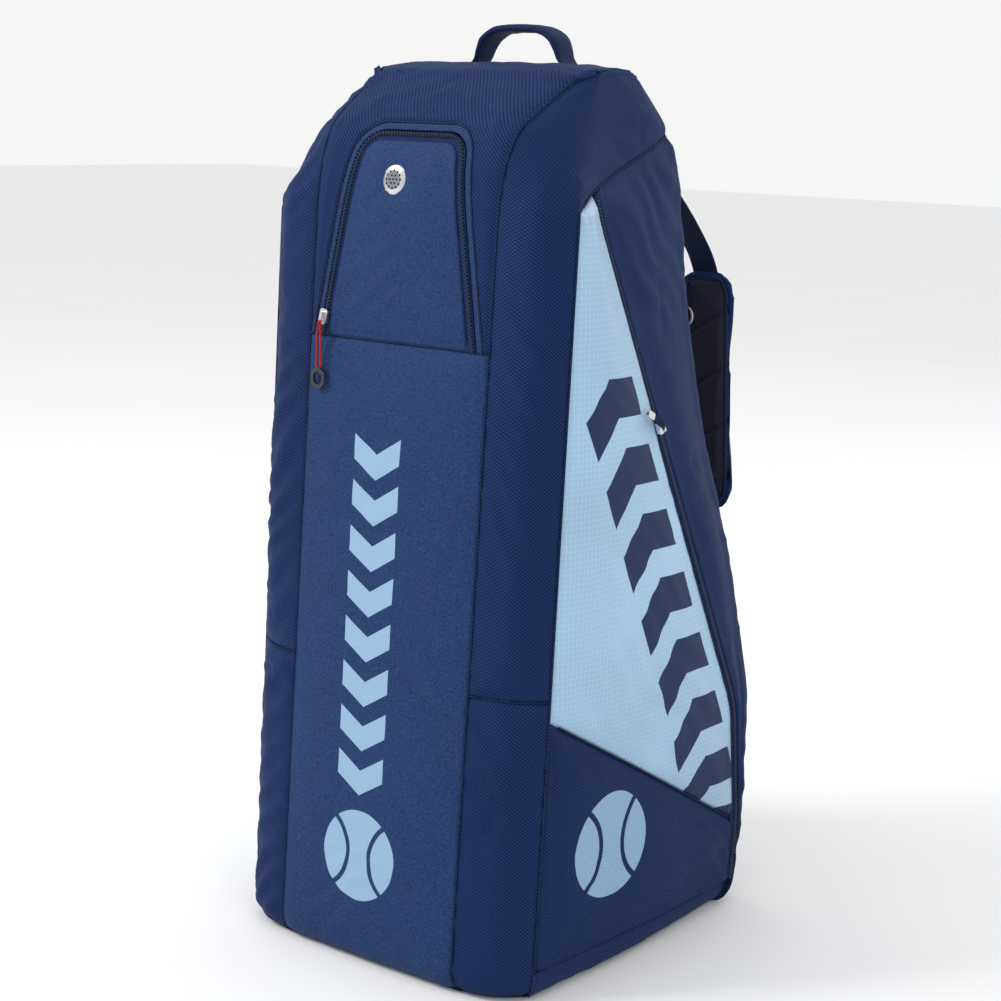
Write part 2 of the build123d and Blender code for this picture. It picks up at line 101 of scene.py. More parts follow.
def straight(pairs, z):
    """The value at height z on straight lines between (height, value) pairs."""
    if z <= pairs[0][0]:
        return float(pairs[0][1])
    for (z0, v0), (z1, v1) in zip(pairs, pairs[1:]):
        if z <= z1:
            return v0 + (v1 - v0) * (z - z0) / (z1 - z0)
    return float(pairs[-1][1])


def along(pairs, z):
    """The value at height z on a list of (height, value) pairs, with its kinks eased."""
    reach = 14 if z < 640 else 9
    return sum(w * straight(pairs, z + d * reach) for d, w in ((-1, 0.25), (0, 0.5), (1, 0.25)))


def mix2(a, b, k):
    return (a[0] + (b[0] - a[0]) * k, a[1] + (b[1] - a[1]) * k)


def step_to(a, b, distance):
    return mix2(a, b, distance / math.dist(a, b))


def top_scale(z):
    """Rounded corners shrink to about a third towards the ridge."""
    return min(1.0, 0.35 + 0.65 * (RIDGE_P - z) / (RIDGE_P - SHOULDER_Z))


def guide(name, z):
    """One line of the right side of the skin: its (x, y) at height z, before it curves under."""
    scale = top_scale(z)
    if name in EDGES:
        across, ahead = EDGES[name]
        return (along(across, z), along(ahead, z))
    if name == "front":
        return (0.0, along(FRONT_Y, z) - FRONT_BULGE)
    if name == "back":
        return (0.0, along(CORNER_Y, z) + BACK_BULGE * scale)
    if name in CORNERS:
        dx, dy = CORNERS[name]
        return (along(CORNER_X, z) + dx * scale, along(CORNER_Y, z) + dy * scale)
    if name in MIDDLES:
        first, second, dx, dy = MIDDLES[name]
        m = mix2(guide(first, z), guide(second, z), 0.5)
        return (m[0] + dx * scale, m[1] + dy * scale)
    if name == "hinge_in":
        return step_to(guide("hinge", z), guide("zip", z), HINGE_ROOM)
    if name == "door_mid":
        a, b = guide("hinge", z), guide("zip", z)
        m = mix2(a, b, 0.5)
        return (m[0] + DOOR_BULGE * min(1, math.dist(a, b) / 160), m[1])
    towards, shift = ZIP_EDGES[name]
    return step_to(guide("zip", z), guide(towards, z), along(shift, z) * scale)


def curve_under(x, y, z):
    """The skin's point after it curves in under the bag."""
    if z >= ROUND_Z:
        return x, y
    k = (ROUND_Z - z) / ROUND_Z
    depth = UNDER * (1 - math.sqrt(max(0.0, 1 - k * k)))
    cx = max(-CORE[0], min(CORE[0], x))
    cy = max(-CORE[1], min(CORE[1], y))
    d = math.hypot(cx - x, cy - y) or 1.0
    return x + (cx - x) / d * depth, y + (cy - y) / d * depth


def cubic(p0, p1, p2, p3, h0, h1, h2, f):
    """A smooth curve's point at share f between p1 and p2. h are the three distances between the points."""
    m1 = ((p2 - p1) / h1 * h0 + (p1 - p0) / h0 * h1) / (h0 + h1) if h0 else (p2 - p1) / h1
    m2 = ((p3 - p2) / h2 * h1 + (p2 - p1) / h1 * h2) / (h1 + h2) if h2 else (p2 - p1) / h1
    f2, f3 = f * f, f * f * f
    return ((2 * f3 - 3 * f2 + 1) * p1 + (f3 - 2 * f2 + f) * h1 * m1
            + (3 * f2 - 2 * f3) * p2 + (f3 - f2) * h1 * m2)


def section(names, z, t):
    """The point at share t of the way between the first and last of several guides, on a smooth curve."""
    pts = []
    for name in names:
        x, y = guide(name.lstrip("-"), z)
        pts.append(np.array((-x if name.startswith("-") else x, y)))
    steps = [float(np.linalg.norm(b - a)) for a, b in zip(pts, pts[1:])]
    left = t * sum(steps)
    i = 0
    while i < len(steps) - 1 and left > steps[i]:
        left -= steps[i]
        i += 1
    f = min(1.0, left / steps[i])
    last = len(steps) - 1
    before, after = pts[max(i - 1, 0)], pts[min(i + 2, last + 1)]
    return cubic(before, pts[i], pts[i + 1], after, steps[i - 1] if i else 0.0, steps[i],
                 steps[i + 1] if i < last else 0.0, f)


def wall_point(names, z, t):
    x, y = section(names, z, t)
    x, y = curve_under(x, y, z)
    return (x, y + SHIFT_Y, z)


def rows_between(z0, z1, pitch=None):
    """How many rows of points a stretch of that height takes."""
    return max(2, int(abs(z1 - z0) / (pitch or GRID)) + 1)


def wall_grid(names, low, high, cols, rows):
    """Points of a stretch of wall. low and high are heights, or functions of the share across."""
    grid = np.empty((rows, cols, 3))
    for c in range(cols):
        t = c / (cols - 1)
        z0 = low(t) if callable(low) else low
        z1 = high(t) if callable(high) else high
        for r in range(rows):
            z = z0 + (z1 - z0) * r / (rows - 1)
            grid[r, c] = wall_point(names, z, t)
    return grid


# ---------------------------------------------------------------- cloth panels from grids of points
def lengths_of(grid):
    """Distances in millimetres along the rows and up the columns, as two arrays."""
    du = np.linalg.norm(np.diff(grid, axis=1), axis=2)
    dv = np.linalg.norm(np.diff(grid, axis=0), axis=2)
    u = np.concatenate([np.zeros((grid.shape[0], 1)), np.cumsum(du, axis=1)], axis=1)
    v = np.concatenate([np.zeros((1, grid.shape[1])), np.cumsum(dv, axis=0)], axis=0)
    return u, v


def patch(grid):
    """A grid of points (rows go up, columns go round anticlockwise) with its lengths as texture places."""
    return (grid, *lengths_of(grid))


def grid_normals(grid):
    n = np.cross(np.gradient(grid, axis=1), np.gradient(grid, axis=0))
    return n / np.maximum(np.linalg.norm(n, axis=2, keepdims=True), 1e-9)


def grid_faces(rows, cols, start=0):
    """Quads of a grid whose vertices are counted row by row."""
    i = np.arange(rows - 1)[:, None] * cols + np.arange(cols - 1)[None, :] + start
    return np.stack([i, i + 1, i + cols + 1, i + cols], axis=2).reshape(-1, 4)


def joined(patches):
    """One welded surface from several patches: its points, its quads and a texture place per corner."""
    points = np.concatenate([g.reshape(-1, 3) for g, _, _ in patches])
    places = np.concatenate([np.stack([u.ravel(), v.ravel()], axis=1) for _, u, v in patches])
    quads, start = [], 0
    for grid, _, _ in patches:
        quads.append(grid_faces(*grid.shape[:2], start))
        start += grid.shape[0] * grid.shape[1]
    quads = np.concatenate(quads)
    keys = np.round((points + 0.00713) / 0.05).astype(np.int64)
    _, first, same = np.unique(keys, axis=0, return_index=True, return_inverse=True)
    return points[first], same.reshape(-1)[quads], places[quads]


def point_normals(points, quads):
    """The mean normal of the quads round each point."""
    a, b, c, d = (points[quads[:, k]] for k in range(4))
    face = np.cross(c - a, d - b)
    normals = np.zeros_like(points)
    for k in range(4):
        np.add.at(normals, quads[:, k], face)
    return normals / np.maximum(np.linalg.norm(normals, axis=1, keepdims=True), 1e-9)


def border_edges(quads):
    """The edges that belong to one quad only, in that quad's direction."""
    edges = np.concatenate([quads[:, [k, (k + 1) % 4]] for k in range(4)])
    edges = edges[edges[:, 0] != edges[:, 1]]
    _, index, count = np.unique(np.sort(edges, axis=1), axis=0, return_index=True, return_counts=True)
    return edges[index[count == 1]]


def even(line, pitch):
    """A polyline's points at even spacing."""
    line = np.asarray(line, float)
    run = run_along(line[:, :3])
    s = np.linspace(0, run[-1], max(2, int(run[-1] / pitch) + 1))
    return np.stack([np.interp(s, run, line[:, k]) for k in range(line.shape[1])], axis=1)


PUFF_RISE = 26.0        # how far from its border a panel's padding is nearly full
FOLDS_FROM = 22.0       # folds are full this far from a border
PUCKER_AT = 10.0        # ripples are strongest this far from a seam
PUCKER_SPREAD = 15.0
TRIM_RADIUS = 12.5


def seam_distance(points, seams):
    """Each point's distance from the nearest of several sewn lines."""
    near = np.full(len(points), 1e3)
    for line in seams:
        line = even(line, 1.5)
        for k in range(0, len(line), 48):
            gap = points[:, None, :] - line[None, k:k + 48, :]
            near = np.minimum(near, np.sqrt((gap ** 2).sum(axis=2).min(axis=1)))
    return near


def fold_noise(p, seed):
    """Soft hollows and a few crease lines, in millimetres, for taut cloth over padding."""
    soft = noise.noise(Vector((p[0] * 0.011 + seed, p[1] * 0.011, p[2] * 0.0075))) * 1.3
    lines = Vector((p[0] * 0.02, p[1] * 0.02 + seed, p[2] * 0.034 + 0.012 * (p[0] + p[1])))
    crease = 1 - abs(noise.noise(lines)) * 1.7
    where = max(0.0, noise.noise(Vector((p[0], p[1], p[2])) * 0.009 + Vector((0, seed, 3)))) * 2.2
    return soft * 1.7 - max(0.0, crease) ** 3 * 2.0 * min(1.0, where) + slant(p, seed)


def slant(p, seed):
    """Slanting wrinkles where the cloth is pressed together, in patches, in millimetres."""
    drift = noise.noise(Vector(p) * 0.012 + Vector((0, seed, 7)))
    share = max(0.0, noise.noise(Vector(p) * 0.006 + Vector((seed, 5, 0))) + 0.22)
    run = p[2] + 0.9 * (abs(p[0]) + p[1])
    return math.sin(2 * math.pi * run / 34.0 + 6.0 * drift) * 2.3 * min(0.5, share)


def pucker(p, seed):
    """Small ripples that the thread pulls into the cloth beside a seam."""
    drift = noise.noise(Vector(p) * 0.02 + Vector((seed, 0, 0)))
    return math.sin(0.27 * p[2] + 0.16 * (p[0] + p[1]) + 9.0 * drift) * (0.22 + 0.8 * drift)


def raised(points, seams, edges, puff, folds, dip, reach, seed, flat_round=None):
    """How far each point of a panel stands out: padded inside, drawn in at its seams, flat at its edges.

    Hard trim presses the cloth flat around the point flat_round.
    """
    sewn = seam_distance(points, seams)
    near = np.minimum(sewn, seam_distance(points, edges))
    out = puff * (1 - np.exp(-((near / PUFF_RISE) ** 2))) - dip * np.exp(-((sewn / reach) ** 2))
    if folds:
        rough = np.array([fold_noise(p, seed) for p in points])
        ripple = np.array([pucker(p, seed) for p in points])
        rough *= np.clip(near / FOLDS_FROM, 0, 1)
        out += folds * (rough + ripple * np.exp(-(((near - PUCKER_AT) / PUCKER_SPREAD) ** 2)))
    if flat_round is not None:
        away = np.linalg.norm(points - np.asarray(flat_round), axis=1)
        out *= np.clip((away - TRIM_RADIUS) / 16.0, 0, 1) ** 0.8
    return out


def mesh_object(name, verts, faces, places=None, slots=None, materials=()):
    """A mesh object from millimetre points. places is one texture pair per face corner, in face order."""
    mesh = bpy.data.meshes.new(name)
    mesh.from_pydata([tuple(c * MM for c in p) for p in verts], [], [tuple(map(int, f)) for f in faces])
    if places is not None:
        layer = mesh.uv_layers.new(name="UVMap")
        layer.data.foreach_set("uv", (np.asarray(places, float) * MM).astype(np.float32).ravel())
    for m in materials:
        mesh.materials.append(m)
    if slots is not None:
        mesh.polygons.foreach_set("material_index", np.asarray(slots, dtype=np.int32))
    mesh.polygons.foreach_set("use_smooth", [True] * len(mesh.polygons))
    mesh.update()
    obj = bpy.data.objects.new(name, mesh)
    bpy.context.scene.collection.objects.link(obj)
    return obj


def panel(name, patches, cloth, seams=(), edges=(), puff=3.0, folds=1.0, dip=2.4, reach=6.0, seed=0,
          thick=THICK, lining=None, flat_round=None):
    """One closed piece of padded cloth: an outside, a lining behind it and edges that join them."""
    points, quads, places = joined(patches)
    out = raised(points, seams, edges, puff, folds, dip, reach, seed, flat_round)
    outer = points + point_normals(points, quads) * out[:, None]
    inner = outer - point_normals(outer, quads) * thick
    n = len(points)
    edges = border_edges(quads)
    sides = np.stack([edges[:, 1], edges[:, 0], edges[:, 0] + n, edges[:, 1] + n], axis=1)
    at = np.zeros((n, 2))
    at[quads] = places
    side_places = at[np.stack([edges[:, 1], edges[:, 0], edges[:, 0], edges[:, 1]], axis=1)]
    faces, corners, slots = [], [], []
    for group, group_places, index in ((quads, places, 0), (quads[:, ::-1] + n, places[:, ::-1], 1),
                                       (sides, side_places, 2)):
        for face, spots in zip(group.tolist(), group_places):
            keep = [k for k in range(4) if face[k] not in face[:k]]
            if len(keep) > 2:
                faces.append([face[k] for k in keep])
                corners.extend(spots[k] for k in keep)
                slots.append(index)
    return mesh_object(name, np.concatenate([outer, inner]), faces, corners, slots,
                       (cloth, lining or LINING, TURNED_EDGE))


def squared(value, power):
    """A sine or cosine bent so that a circle drawn with it gets flatter sides."""
    return math.copysign(abs(value) ** power, value)


def tube_faces(rings, sides, start=0, closed=False):
    """Quads between rings of vertices, and either the two ends or quads from the last ring to the first."""
    faces = []
    for i in range(rings - 1):
        for k in range(sides):
            a, b = start + i * sides + k, start + i * sides + (k + 1) % sides
            faces.append((a, b, b + sides, a + sides))
    last = start + (rings - 1) * sides
    if closed:
        for k in range(sides):
            turn = (k + 1) % sides
            faces.append((last + k, last + turn, start + turn, start + k))
    else:
        faces.append(tuple(range(start, start + sides))[::-1])
        faces.append(tuple(range(last, last + sides)))
    return faces


def run_along(line):
    """Each point's distance from the start of a line."""
    return np.concatenate([[0], np.cumsum(np.linalg.norm(np.diff(line, axis=0), axis=1))])


def sweep(name, path, half_w, half_t, side, material, sides=10, square=0.5, lumps=0.0, closed=False,
          seed=0.0):
    """A flat or round strap along a path. side is the direction of its width, at all points or at each."""
    path = np.asarray(path, float)
    tangent = np.roll(path, -1, axis=0) - np.roll(path, 1, axis=0) if closed else np.gradient(path, axis=0)
    tangent /= np.linalg.norm(tangent, axis=1, keepdims=True)
    side = np.broadcast_to(np.asarray(side, float), path.shape)
    side = side - tangent * np.sum(side * tangent, axis=1, keepdims=True)
    side = side / np.linalg.norm(side, axis=1, keepdims=True)
    up = np.cross(side, tangent)
    half_w = np.broadcast_to(np.asarray(half_w, float), len(path))
    half_t = np.broadcast_to(np.asarray(half_t, float), len(path))
    verts, spots = [], []
    run = run_along(path)
    for i, p in enumerate(path):
        for k in range(sides):
            a = 2 * math.pi * k / sides
            c, s = math.cos(a), math.sin(a)
            x = squared(c, square) * half_w[i]
            y = squared(s, square) * half_t[i]
            if lumps:
                y += lumps * noise.noise(Vector((run[i] * 0.12, k * 0.9 + seed, seed)))
            verts.append(p + side[i] * x + up[i] * y)
            spots.append((x, run[i]))
    faces = tube_faces(len(path), sides, closed=closed)
    places = [spots[v] for face in faces for v in face]
    return mesh_object(name, verts, faces, places, None, (material,))


def resample(points, pitch):
    """Points at even spacing along a smooth curve through the given ones."""
    pts = np.asarray(points, float)
    dense = []
    for i in range(len(pts) - 1):
        p1, p2 = pts[i], pts[i + 1]
        p0 = pts[i - 1] if i else 2 * p1 - p2
        p3 = pts[i + 2] if i + 2 < len(pts) else 2 * p2 - p1
        for f in np.linspace(0, 1, 12, endpoint=False):
            dense.append(0.5 * (2 * p1 + (p2 - p0) * f + (2 * p0 - 5 * p1 + 4 * p2 - p3) * f * f
                                + (3 * p1 - p0 - 3 * p2 + p3) * f ** 3))
    dense.append(pts[-1])
    return even(np.array(dense), pitch)


def beads(name, centres, directions, ups, length, radius, material, flat=1.0):
    """Many small rounded bars in one mesh: stitches or zipper teeth."""
    verts, faces = [], []
    ring = 6
    for c, d, up in zip(centres, directions, ups):
        d = d / np.linalg.norm(d)
        side = np.cross(d, up)
        side /= np.linalg.norm(side)
        up = np.cross(side, d)
        start = len(verts)
        for s, r in ((-0.5, 0.45), (-0.34, 1.0), (0.34, 1.0), (0.5, 0.45)):
            for k in range(ring):
                a = 2 * math.pi * k / ring
                verts.append(c + d * s * length + (side * math.cos(a) + up * math.sin(a) * flat) * r * radius)
        faces += tube_faces(4, ring, start)
    return mesh_object(name, verts, faces, None, None, (material,))


# ---------------------------------------------------------------- materials
EYELET_AT = (-11.0, 665.0)              # x and height of the vent eyelet's middle
DOOR_START = 300.0                      # added to a door's texture places, so that all have one sign
SPINE_ARROWS = (-0.009, 0.0245, 0.0385, 0.0215, 0.150, 0.446, 0.62)     # as chevrons() takes them
DOOR_ARROWS = (0.062, 0.038, 0.064, 0.036, -0.372, 0.118, 0.5)
SPINE_BALL = (-0.006, 0.098, 0.039)     # as ball() takes it
DOOR_BALL = ((-62 + SHIFT_Y) * MM, 0.118, 0.046)


class Nodes:
    """Short calls for building one material's nodes."""

    def __init__(self, name):
        self.material = bpy.data.materials.new(name)
        self.material.use_nodes = True
        self.tree = self.material.node_tree
        self.shader = self.tree.nodes["Principled BSDF"]

    def new(self, kind, **settings):
        node = self.tree.nodes.new(kind)
        for key, value in settings.items():
            setattr(node, key, value)
        return node

    def plug(self, value, socket):
        if isinstance(value, bpy.types.NodeSocket):
            self.tree.links.new(value, socket)
        else:
            socket.default_value = value

    def math(self, op, a, b=0.0, c=0.0):
        node = self.new("ShaderNodeMath", operation=op)
        for value, socket in zip((a, b, c), node.inputs):
            self.plug(value, socket)
        return node.outputs[0]

    def mix(self, share, a, b):
        node = self.new("ShaderNodeMix", data_type="RGBA")
        self.plug(share, node.inputs[0])
        for value, socket in ((a, node.inputs[6]), (b, node.inputs[7])):
            self.plug(value if isinstance(value, bpy.types.NodeSocket) else (*value, 1.0), socket)
        return node.outputs[2]

    def uv(self):
        out = self.new("ShaderNodeSeparateXYZ")
        self.plug(self.new("ShaderNodeUVMap").outputs[0], out.inputs[0])
        return out.outputs[0], out.outputs[1]

    def place(self):
        """The point in the object's own frame, in metres, for pieces that don't bend."""
        out = self.new("ShaderNodeSeparateXYZ")
        self.plug(self.new("ShaderNodeTexCoord").outputs["Object"], out.inputs[0])
        return out.outputs

    def noise(self, scale, detail=2.0, rough=0.5):
        node = self.new("ShaderNodeTexNoise")
        node.inputs["Scale"].default_value = scale
        node.inputs["Detail"].default_value = detail
        node.inputs["Roughness"].default_value = rough
        self.plug(self.new("ShaderNodeTexCoord").outputs["Object"], node.inputs["Vector"])
        return node.outputs["Fac"]

    def wave(self, value, pitch):
        """0 to 1 and back along a length in metres, once per pitch."""
        turn = self.math("MULTIPLY", value, 2 * math.pi / (pitch * MM))
        return self.math("MULTIPLY_ADD", self.math("SINE", turn), 0.5, 0.5)

    def bump(self, height, distance, strength):
        node = self.new("ShaderNodeBump")
        node.inputs["Distance"].default_value = distance * MM
        node.inputs["Strength"].default_value = strength
        self.plug(height, node.inputs["Height"])
        return node.outputs[0]

    def finish(self, color, roughness, normal=None, metallic=0.0, sheen=0.0, specular=0.5, tint=(1, 1, 1)):
        s = self.shader.inputs
        self.plug(color if isinstance(color, bpy.types.NodeSocket) else (*color, 1.0), s["Base Color"])
        self.plug(roughness, s["Roughness"])
        if normal is not None:
            self.plug(normal, s["Normal"])
        s["Metallic"].default_value = metallic
        s["Sheen Weight"].default_value = sheen
        s["Sheen Roughness"].default_value = 0.4
        s["Sheen Tint"].default_value = (*tint, 1.0)
        s["Specular IOR Level"].default_value = specular
        return self.material


def shades(n, color, spread, scale=9.0):
    """A colour that drifts a little lighter and darker over the cloth."""
    dark = tuple(c * (1 - spread) for c in color)
    light = tuple(min(1.0, c * (1 + spread)) for c in color)
    return n.mix(n.noise(scale, 3), dark, light)


def clamp01(n, value):
    node = n.new("ShaderNodeClamp")
    n.plug(value, node.inputs[0])
    return node.outputs[0]


def soft_step(n, value, width=0.0004):
    """0 where value is negative and 1 where it is positive, with a fine soft edge."""
    return clamp01(n, n.math("MULTIPLY_ADD", value, 1 / width, 0.5))


def honeycomb_cloth(name, color, graphics=None, pitch=3.0, deep=0.7):
    """Ribbed twill: short diagonal ribs in staggered rows, with painted shade in the valleys between them."""
    n = Nodes(name)
    u, v = n.uv()
    across = n.wave(n.math("MULTIPLY_ADD", u, 0.85, v), pitch)
    down = n.wave(n.math("SUBTRACT", n.math("MULTIPLY", u, 0.7), v), pitch)
    cell = n.math("POWER", n.math("MULTIPLY", across, n.math("MULTIPLY_ADD", down, 0.85, 0.15)), 0.5)
    thread = n.noise(2600.0, 1)
    height = n.math("MULTIPLY_ADD", thread, 0.25, cell)
    base = shades(n, color, 0.16)
    # Painted shade: the weave's low cells are mixed towards near-black, darkest in the valleys between the
    # ribs.
    dark = n.mix(0.85, base, (0.0006, 0.0016, 0.008))
    tone = n.mix(clamp01(n, n.math("MULTIPLY_ADD", cell, 1.7, -0.15)), dark, base)
    if graphics:
        tone = graphics(n, tone)
    normal = n.bump(height, deep, 0.75)
    return n.finish(tone, 0.62, normal, sheen=0.03, tint=(0.25, 0.5, 1.0), specular=0.1)


def plain_cloth(name, color, pitch=1.1, sheen=0.03, graphics=None):
    """Fine plain weave with slightly uneven threads. graphics paints a print over its colour."""
    rough = 0.6
    n = Nodes(name)
    u, v = n.uv()
    wobble = n.math("MULTIPLY", n.noise(240.0, 2), 0.0006)
    warp = n.wave(n.math("ADD", u, wobble), pitch)
    weft = n.wave(n.math("ADD", v, wobble), pitch)
    over = n.math("MAXIMUM", n.math("MULTIPLY", warp, n.wave(v, pitch * 2)),
                  n.math("MULTIPLY", weft, n.math("SUBTRACT", 1.0, n.wave(v, pitch * 2))))
    slub = n.noise(900.0, 3, 0.7)
    height = n.math("MULTIPLY_ADD", slub, 0.5, over)
    base = shades(n, color, 0.12)
    # Painted shade: where the weave is low, between the threads that lie over, the colour is mixed darker.
    tone = n.mix(n.math("MULTIPLY_ADD", over, 0.6, 0.4), n.mix(0.6, base, (0.0, 0.001, 0.012)), base)
    grain = clamp01(n, n.math("MULTIPLY_ADD", n.noise(620.0, 2, 0.6), 3.0, -1.0))
    tone = n.mix(grain, n.mix(0.35, tone, (0.0, 0.002, 0.012)), n.mix(0.12, tone, (0.08, 0.16, 0.36)))
    if graphics:
        tone, rough = graphics(n, tone, rough)
    return n.finish(tone, rough, n.bump(height, 0.26, 0.7), sheen=sheen, tint=(0.3, 0.5, 1.0), specular=0.12)


def chevrons(n, across, up, middle, half, pitch, thick, low, high, slope):
    """A mask of V-shaped bars stacked along up, with their tips at middle. All in metres."""
    a = n.math("ABSOLUTE", n.math("SUBTRACT", across, middle))
    lifted = n.math("SUBTRACT", up, n.math("MULTIPLY", a, slope))
    start = n.math("SUBTRACT", lifted, low)
    inside = n.math("MULTIPLY", n.math("FRACT", n.math("DIVIDE", start, pitch)), pitch)
    bar = soft_step(n, n.math("SUBTRACT", thick, inside))
    mask = n.math("MULTIPLY", bar, soft_step(n, n.math("SUBTRACT", half, a)))
    mask = n.math("MULTIPLY", mask, soft_step(n, start))
    return n.math("MULTIPLY", mask, soft_step(n, n.math("SUBTRACT", high - low, start)))


def ball(n, across, up, middle, height, radius):
    """A mask of a plain ball: a disc with two curved gaps. Its centre is at middle across and height up."""
    across, up = n.math("SUBTRACT", across, middle), n.math("SUBTRACT", up, height)
    r = n.math("SQRT", n.math("ADD", n.math("MULTIPLY", across, across), n.math("MULTIPLY", up, up)))
    mask = soft_step(n, n.math("SUBTRACT", radius, r))
    for side in (-1, 1):
        dx = n.math("SUBTRACT", across, side * radius * 1.25)
        d = n.math("SQRT", n.math("ADD", n.math("MULTIPLY", dx, dx), n.math("MULTIPLY", up, up)))
        gap = n.math("ABSOLUTE", n.math("SUBTRACT", d, radius * 0.95))
        mask = n.math("MULTIPLY", mask, soft_step(n, n.math("SUBTRACT", gap, radius * 0.055)))
    return mask


PRINT_BLUE = (0.26, 0.41, 0.57)
PRINT_NAVY = (0.005, 0.017, 0.078)


def spine_print(n, tone, rough):
    x, _, z = n.place()
    mask = n.math("MAXIMUM", chevrons(n, x, z, *SPINE_ARROWS), ball(n, x, z, *SPINE_BALL))
    return n.mix(mask, tone, PRINT_BLUE), n.math("MULTIPLY_ADD", mask, -0.08, rough)


def door_place(n):
    """The closed door's y and z in metres, read from its texture places, so that a print moves with it."""
    u, v = n.uv()
    return n.math("SUBTRACT", n.math("ABSOLUTE", u), DOOR_START * MM), v


def door_coordinates(n):
    """Metres down the side zip's line, and forward from it, on the door."""
    lean, rise = -0.408, 0.913      # the zip's direction, in y and z
    y, z = door_place(n)
    dy = n.math("SUBTRACT", y, 0.125 + SHIFT_Y * MM)
    dz = n.math("SUBTRACT", z, 0.200)
    up = n.math("ADD", n.math("MULTIPLY", dy, lean), n.math("MULTIPLY", dz, rise))
    ahead = n.math("ADD", n.math("MULTIPLY", dy, -rise), n.math("MULTIPLY", dz, lean))
    return up, ahead


def satin_cloth(name):
    """Light satin ripstop with large dark chevrons that follow the zip."""
    n = Nodes(name)
    u, v = n.uv()
    grid_u = n.math("POWER", n.wave(u, 4.6), 14.0)
    grid_v = n.math("POWER", n.wave(v, 4.6), 14.0)
    rip = n.math("MAXIMUM", grid_u, grid_v)
    fine = n.math("MULTIPLY", n.wave(u, 0.9), n.wave(v, 0.9))
    base = shades(n, (0.31, 0.48, 0.66), 0.26, 7.0)
    tone = n.mix(n.math("MULTIPLY", rip, 0.35), base, (0.5, 0.68, 0.82))
    up, ahead = door_coordinates(n)
    mask = chevrons(n, ahead, n.math("MULTIPLY", up, -1.0), *DOOR_ARROWS)
    tone = n.mix(mask, tone, PRINT_NAVY)
    rough = n.math("MULTIPLY_ADD", mask, 0.3, 0.34)
    height = n.math("MULTIPLY_ADD", fine, 0.4, rip)
    return n.finish(tone, rough, n.bump(height, 0.12, 0.6), specular=0.3)


def door_foot_print(n, tone):
    return n.mix(ball(n, *door_place(n), *DOOR_BALL), tone, PRINT_BLUE)


def webbing_cloth(name, color, pitch=1.6):
    """Woven webbing: steep ribs that change direction along its middle."""
    n = Nodes(name)
    u, v = n.uv()
    rib = n.wave(n.math("MULTIPLY_ADD", n.math("ABSOLUTE", u), 0.8, v), pitch)
    fine = n.wave(u, 0.9)
    fuzz = n.math("MULTIPLY", n.noise(1500.0, 2), 0.4)
    height = n.math("MULTIPLY_ADD", n.math("MULTIPLY", rib, fine), 1.0, fuzz)
    base = shades(n, color, 0.2, 22.0)
    # Painted shade: the valleys between the ribs are mixed darker.
    tone = n.mix(rib, n.mix(0.5, base, (0, 0, 0.004)), base)
    return n.finish(tone, 0.65, n.bump(height, 0.28, 0.8), sheen=0.03, tint=(0.4, 0.5, 0.9), specular=0.1)


def mesh_cloth(name, color):
    """Spacer mesh: small round holes in staggered rows."""
    n = Nodes(name)
    u, v = n.uv()
    a = n.wave(n.math("ADD", u, v), 2.6)
    b = n.wave(n.math("SUBTRACT", u, v), 2.6)
    hole = n.math("POWER", n.math("MULTIPLY", a, b), 1.6)
    base = shades(n, color, 0.2, 18.0)
    # Painted shade: the holes are painted near-black for the shaded hollows under the mesh.
    tone = n.mix(hole, base, (0.001, 0.001, 0.002))
    height = n.math("SUBTRACT", n.math("MULTIPLY", n.noise(1800.0, 2), 0.3), hole)
    return n.finish(tone, 0.75, n.bump(height, 0.5, 0.8), sheen=0.2, specular=0.25)


def metal(name, color, rough):
    """Plated metal with faint handling marks."""
    n = Nodes(name)
    marks = n.noise(500.0, 4, 0.7)
    tone = n.mix(marks, tuple(c * 0.9 for c in color), color)
    level = n.math("MULTIPLY_ADD", n.noise(60.0, 3), 0.16, rough)
    return n.finish(tone, level, n.bump(marks, 0.02, 0.5), metallic=1.0)


def eyelet_metal():
    """Brushed metal whose pierced disc is darker than the rim round it."""
    n = Nodes("eyelet_metal")
    x, _, z = n.place()
    dx = n.math("SUBTRACT", x, EYELET_AT[0] * MM)
    dz = n.math("SUBTRACT", z, EYELET_AT[1] * MM)
    r = n.math("SQRT", n.math("ADD", n.math("MULTIPLY", dx, dx), n.math("MULTIPLY", dz, dz)))
    disc = soft_step(n, n.math("SUBTRACT", 0.0076, r))
    marks = n.noise(500.0, 4, 0.7)
    tone = n.mix(disc, n.mix(marks, (0.5, 0.5, 0.51), (0.66, 0.67, 0.69)), (0.17, 0.18, 0.2))
    return n.finish(tone, n.math("MULTIPLY_ADD", marks, 0.1, 0.3), n.bump(marks, 0.02, 0.5), metallic=1.0)


def plastic(name, color, rough=0.42):
    """Moulded plastic with a fine grain and slightly lighter high spots."""
    n = Nodes(name)
    grain = n.noise(1400.0, 3, 0.6)
    tone = n.mix(n.noise(35.0, 2), tuple(c * 0.8 for c in color), tuple(min(1, c * 1.3) for c in color))
    level = n.math("MULTIPLY_ADD", grain, 0.15, rough)
    return n.finish(tone, level, n.bump(grain, 0.05, 0.6))


def thread(name, color):
    """Twisted sewing thread."""
    n = Nodes(name)
    twist = n.noise(3000.0, 2)
    tone = n.mix(twist, tuple(c * 0.7 for c in color), color)
    return n.finish(tone, 0.6, n.bump(twist, 0.08, 0.7), sheen=0.2)


def floor_material():
    n = Nodes("studio_floor")
    tone = n.mix(n.noise(3.0, 2), (0.86, 0.865, 0.875), (0.9, 0.9, 0.905))
    return n.finish(tone, 0.7, specular=0.2)


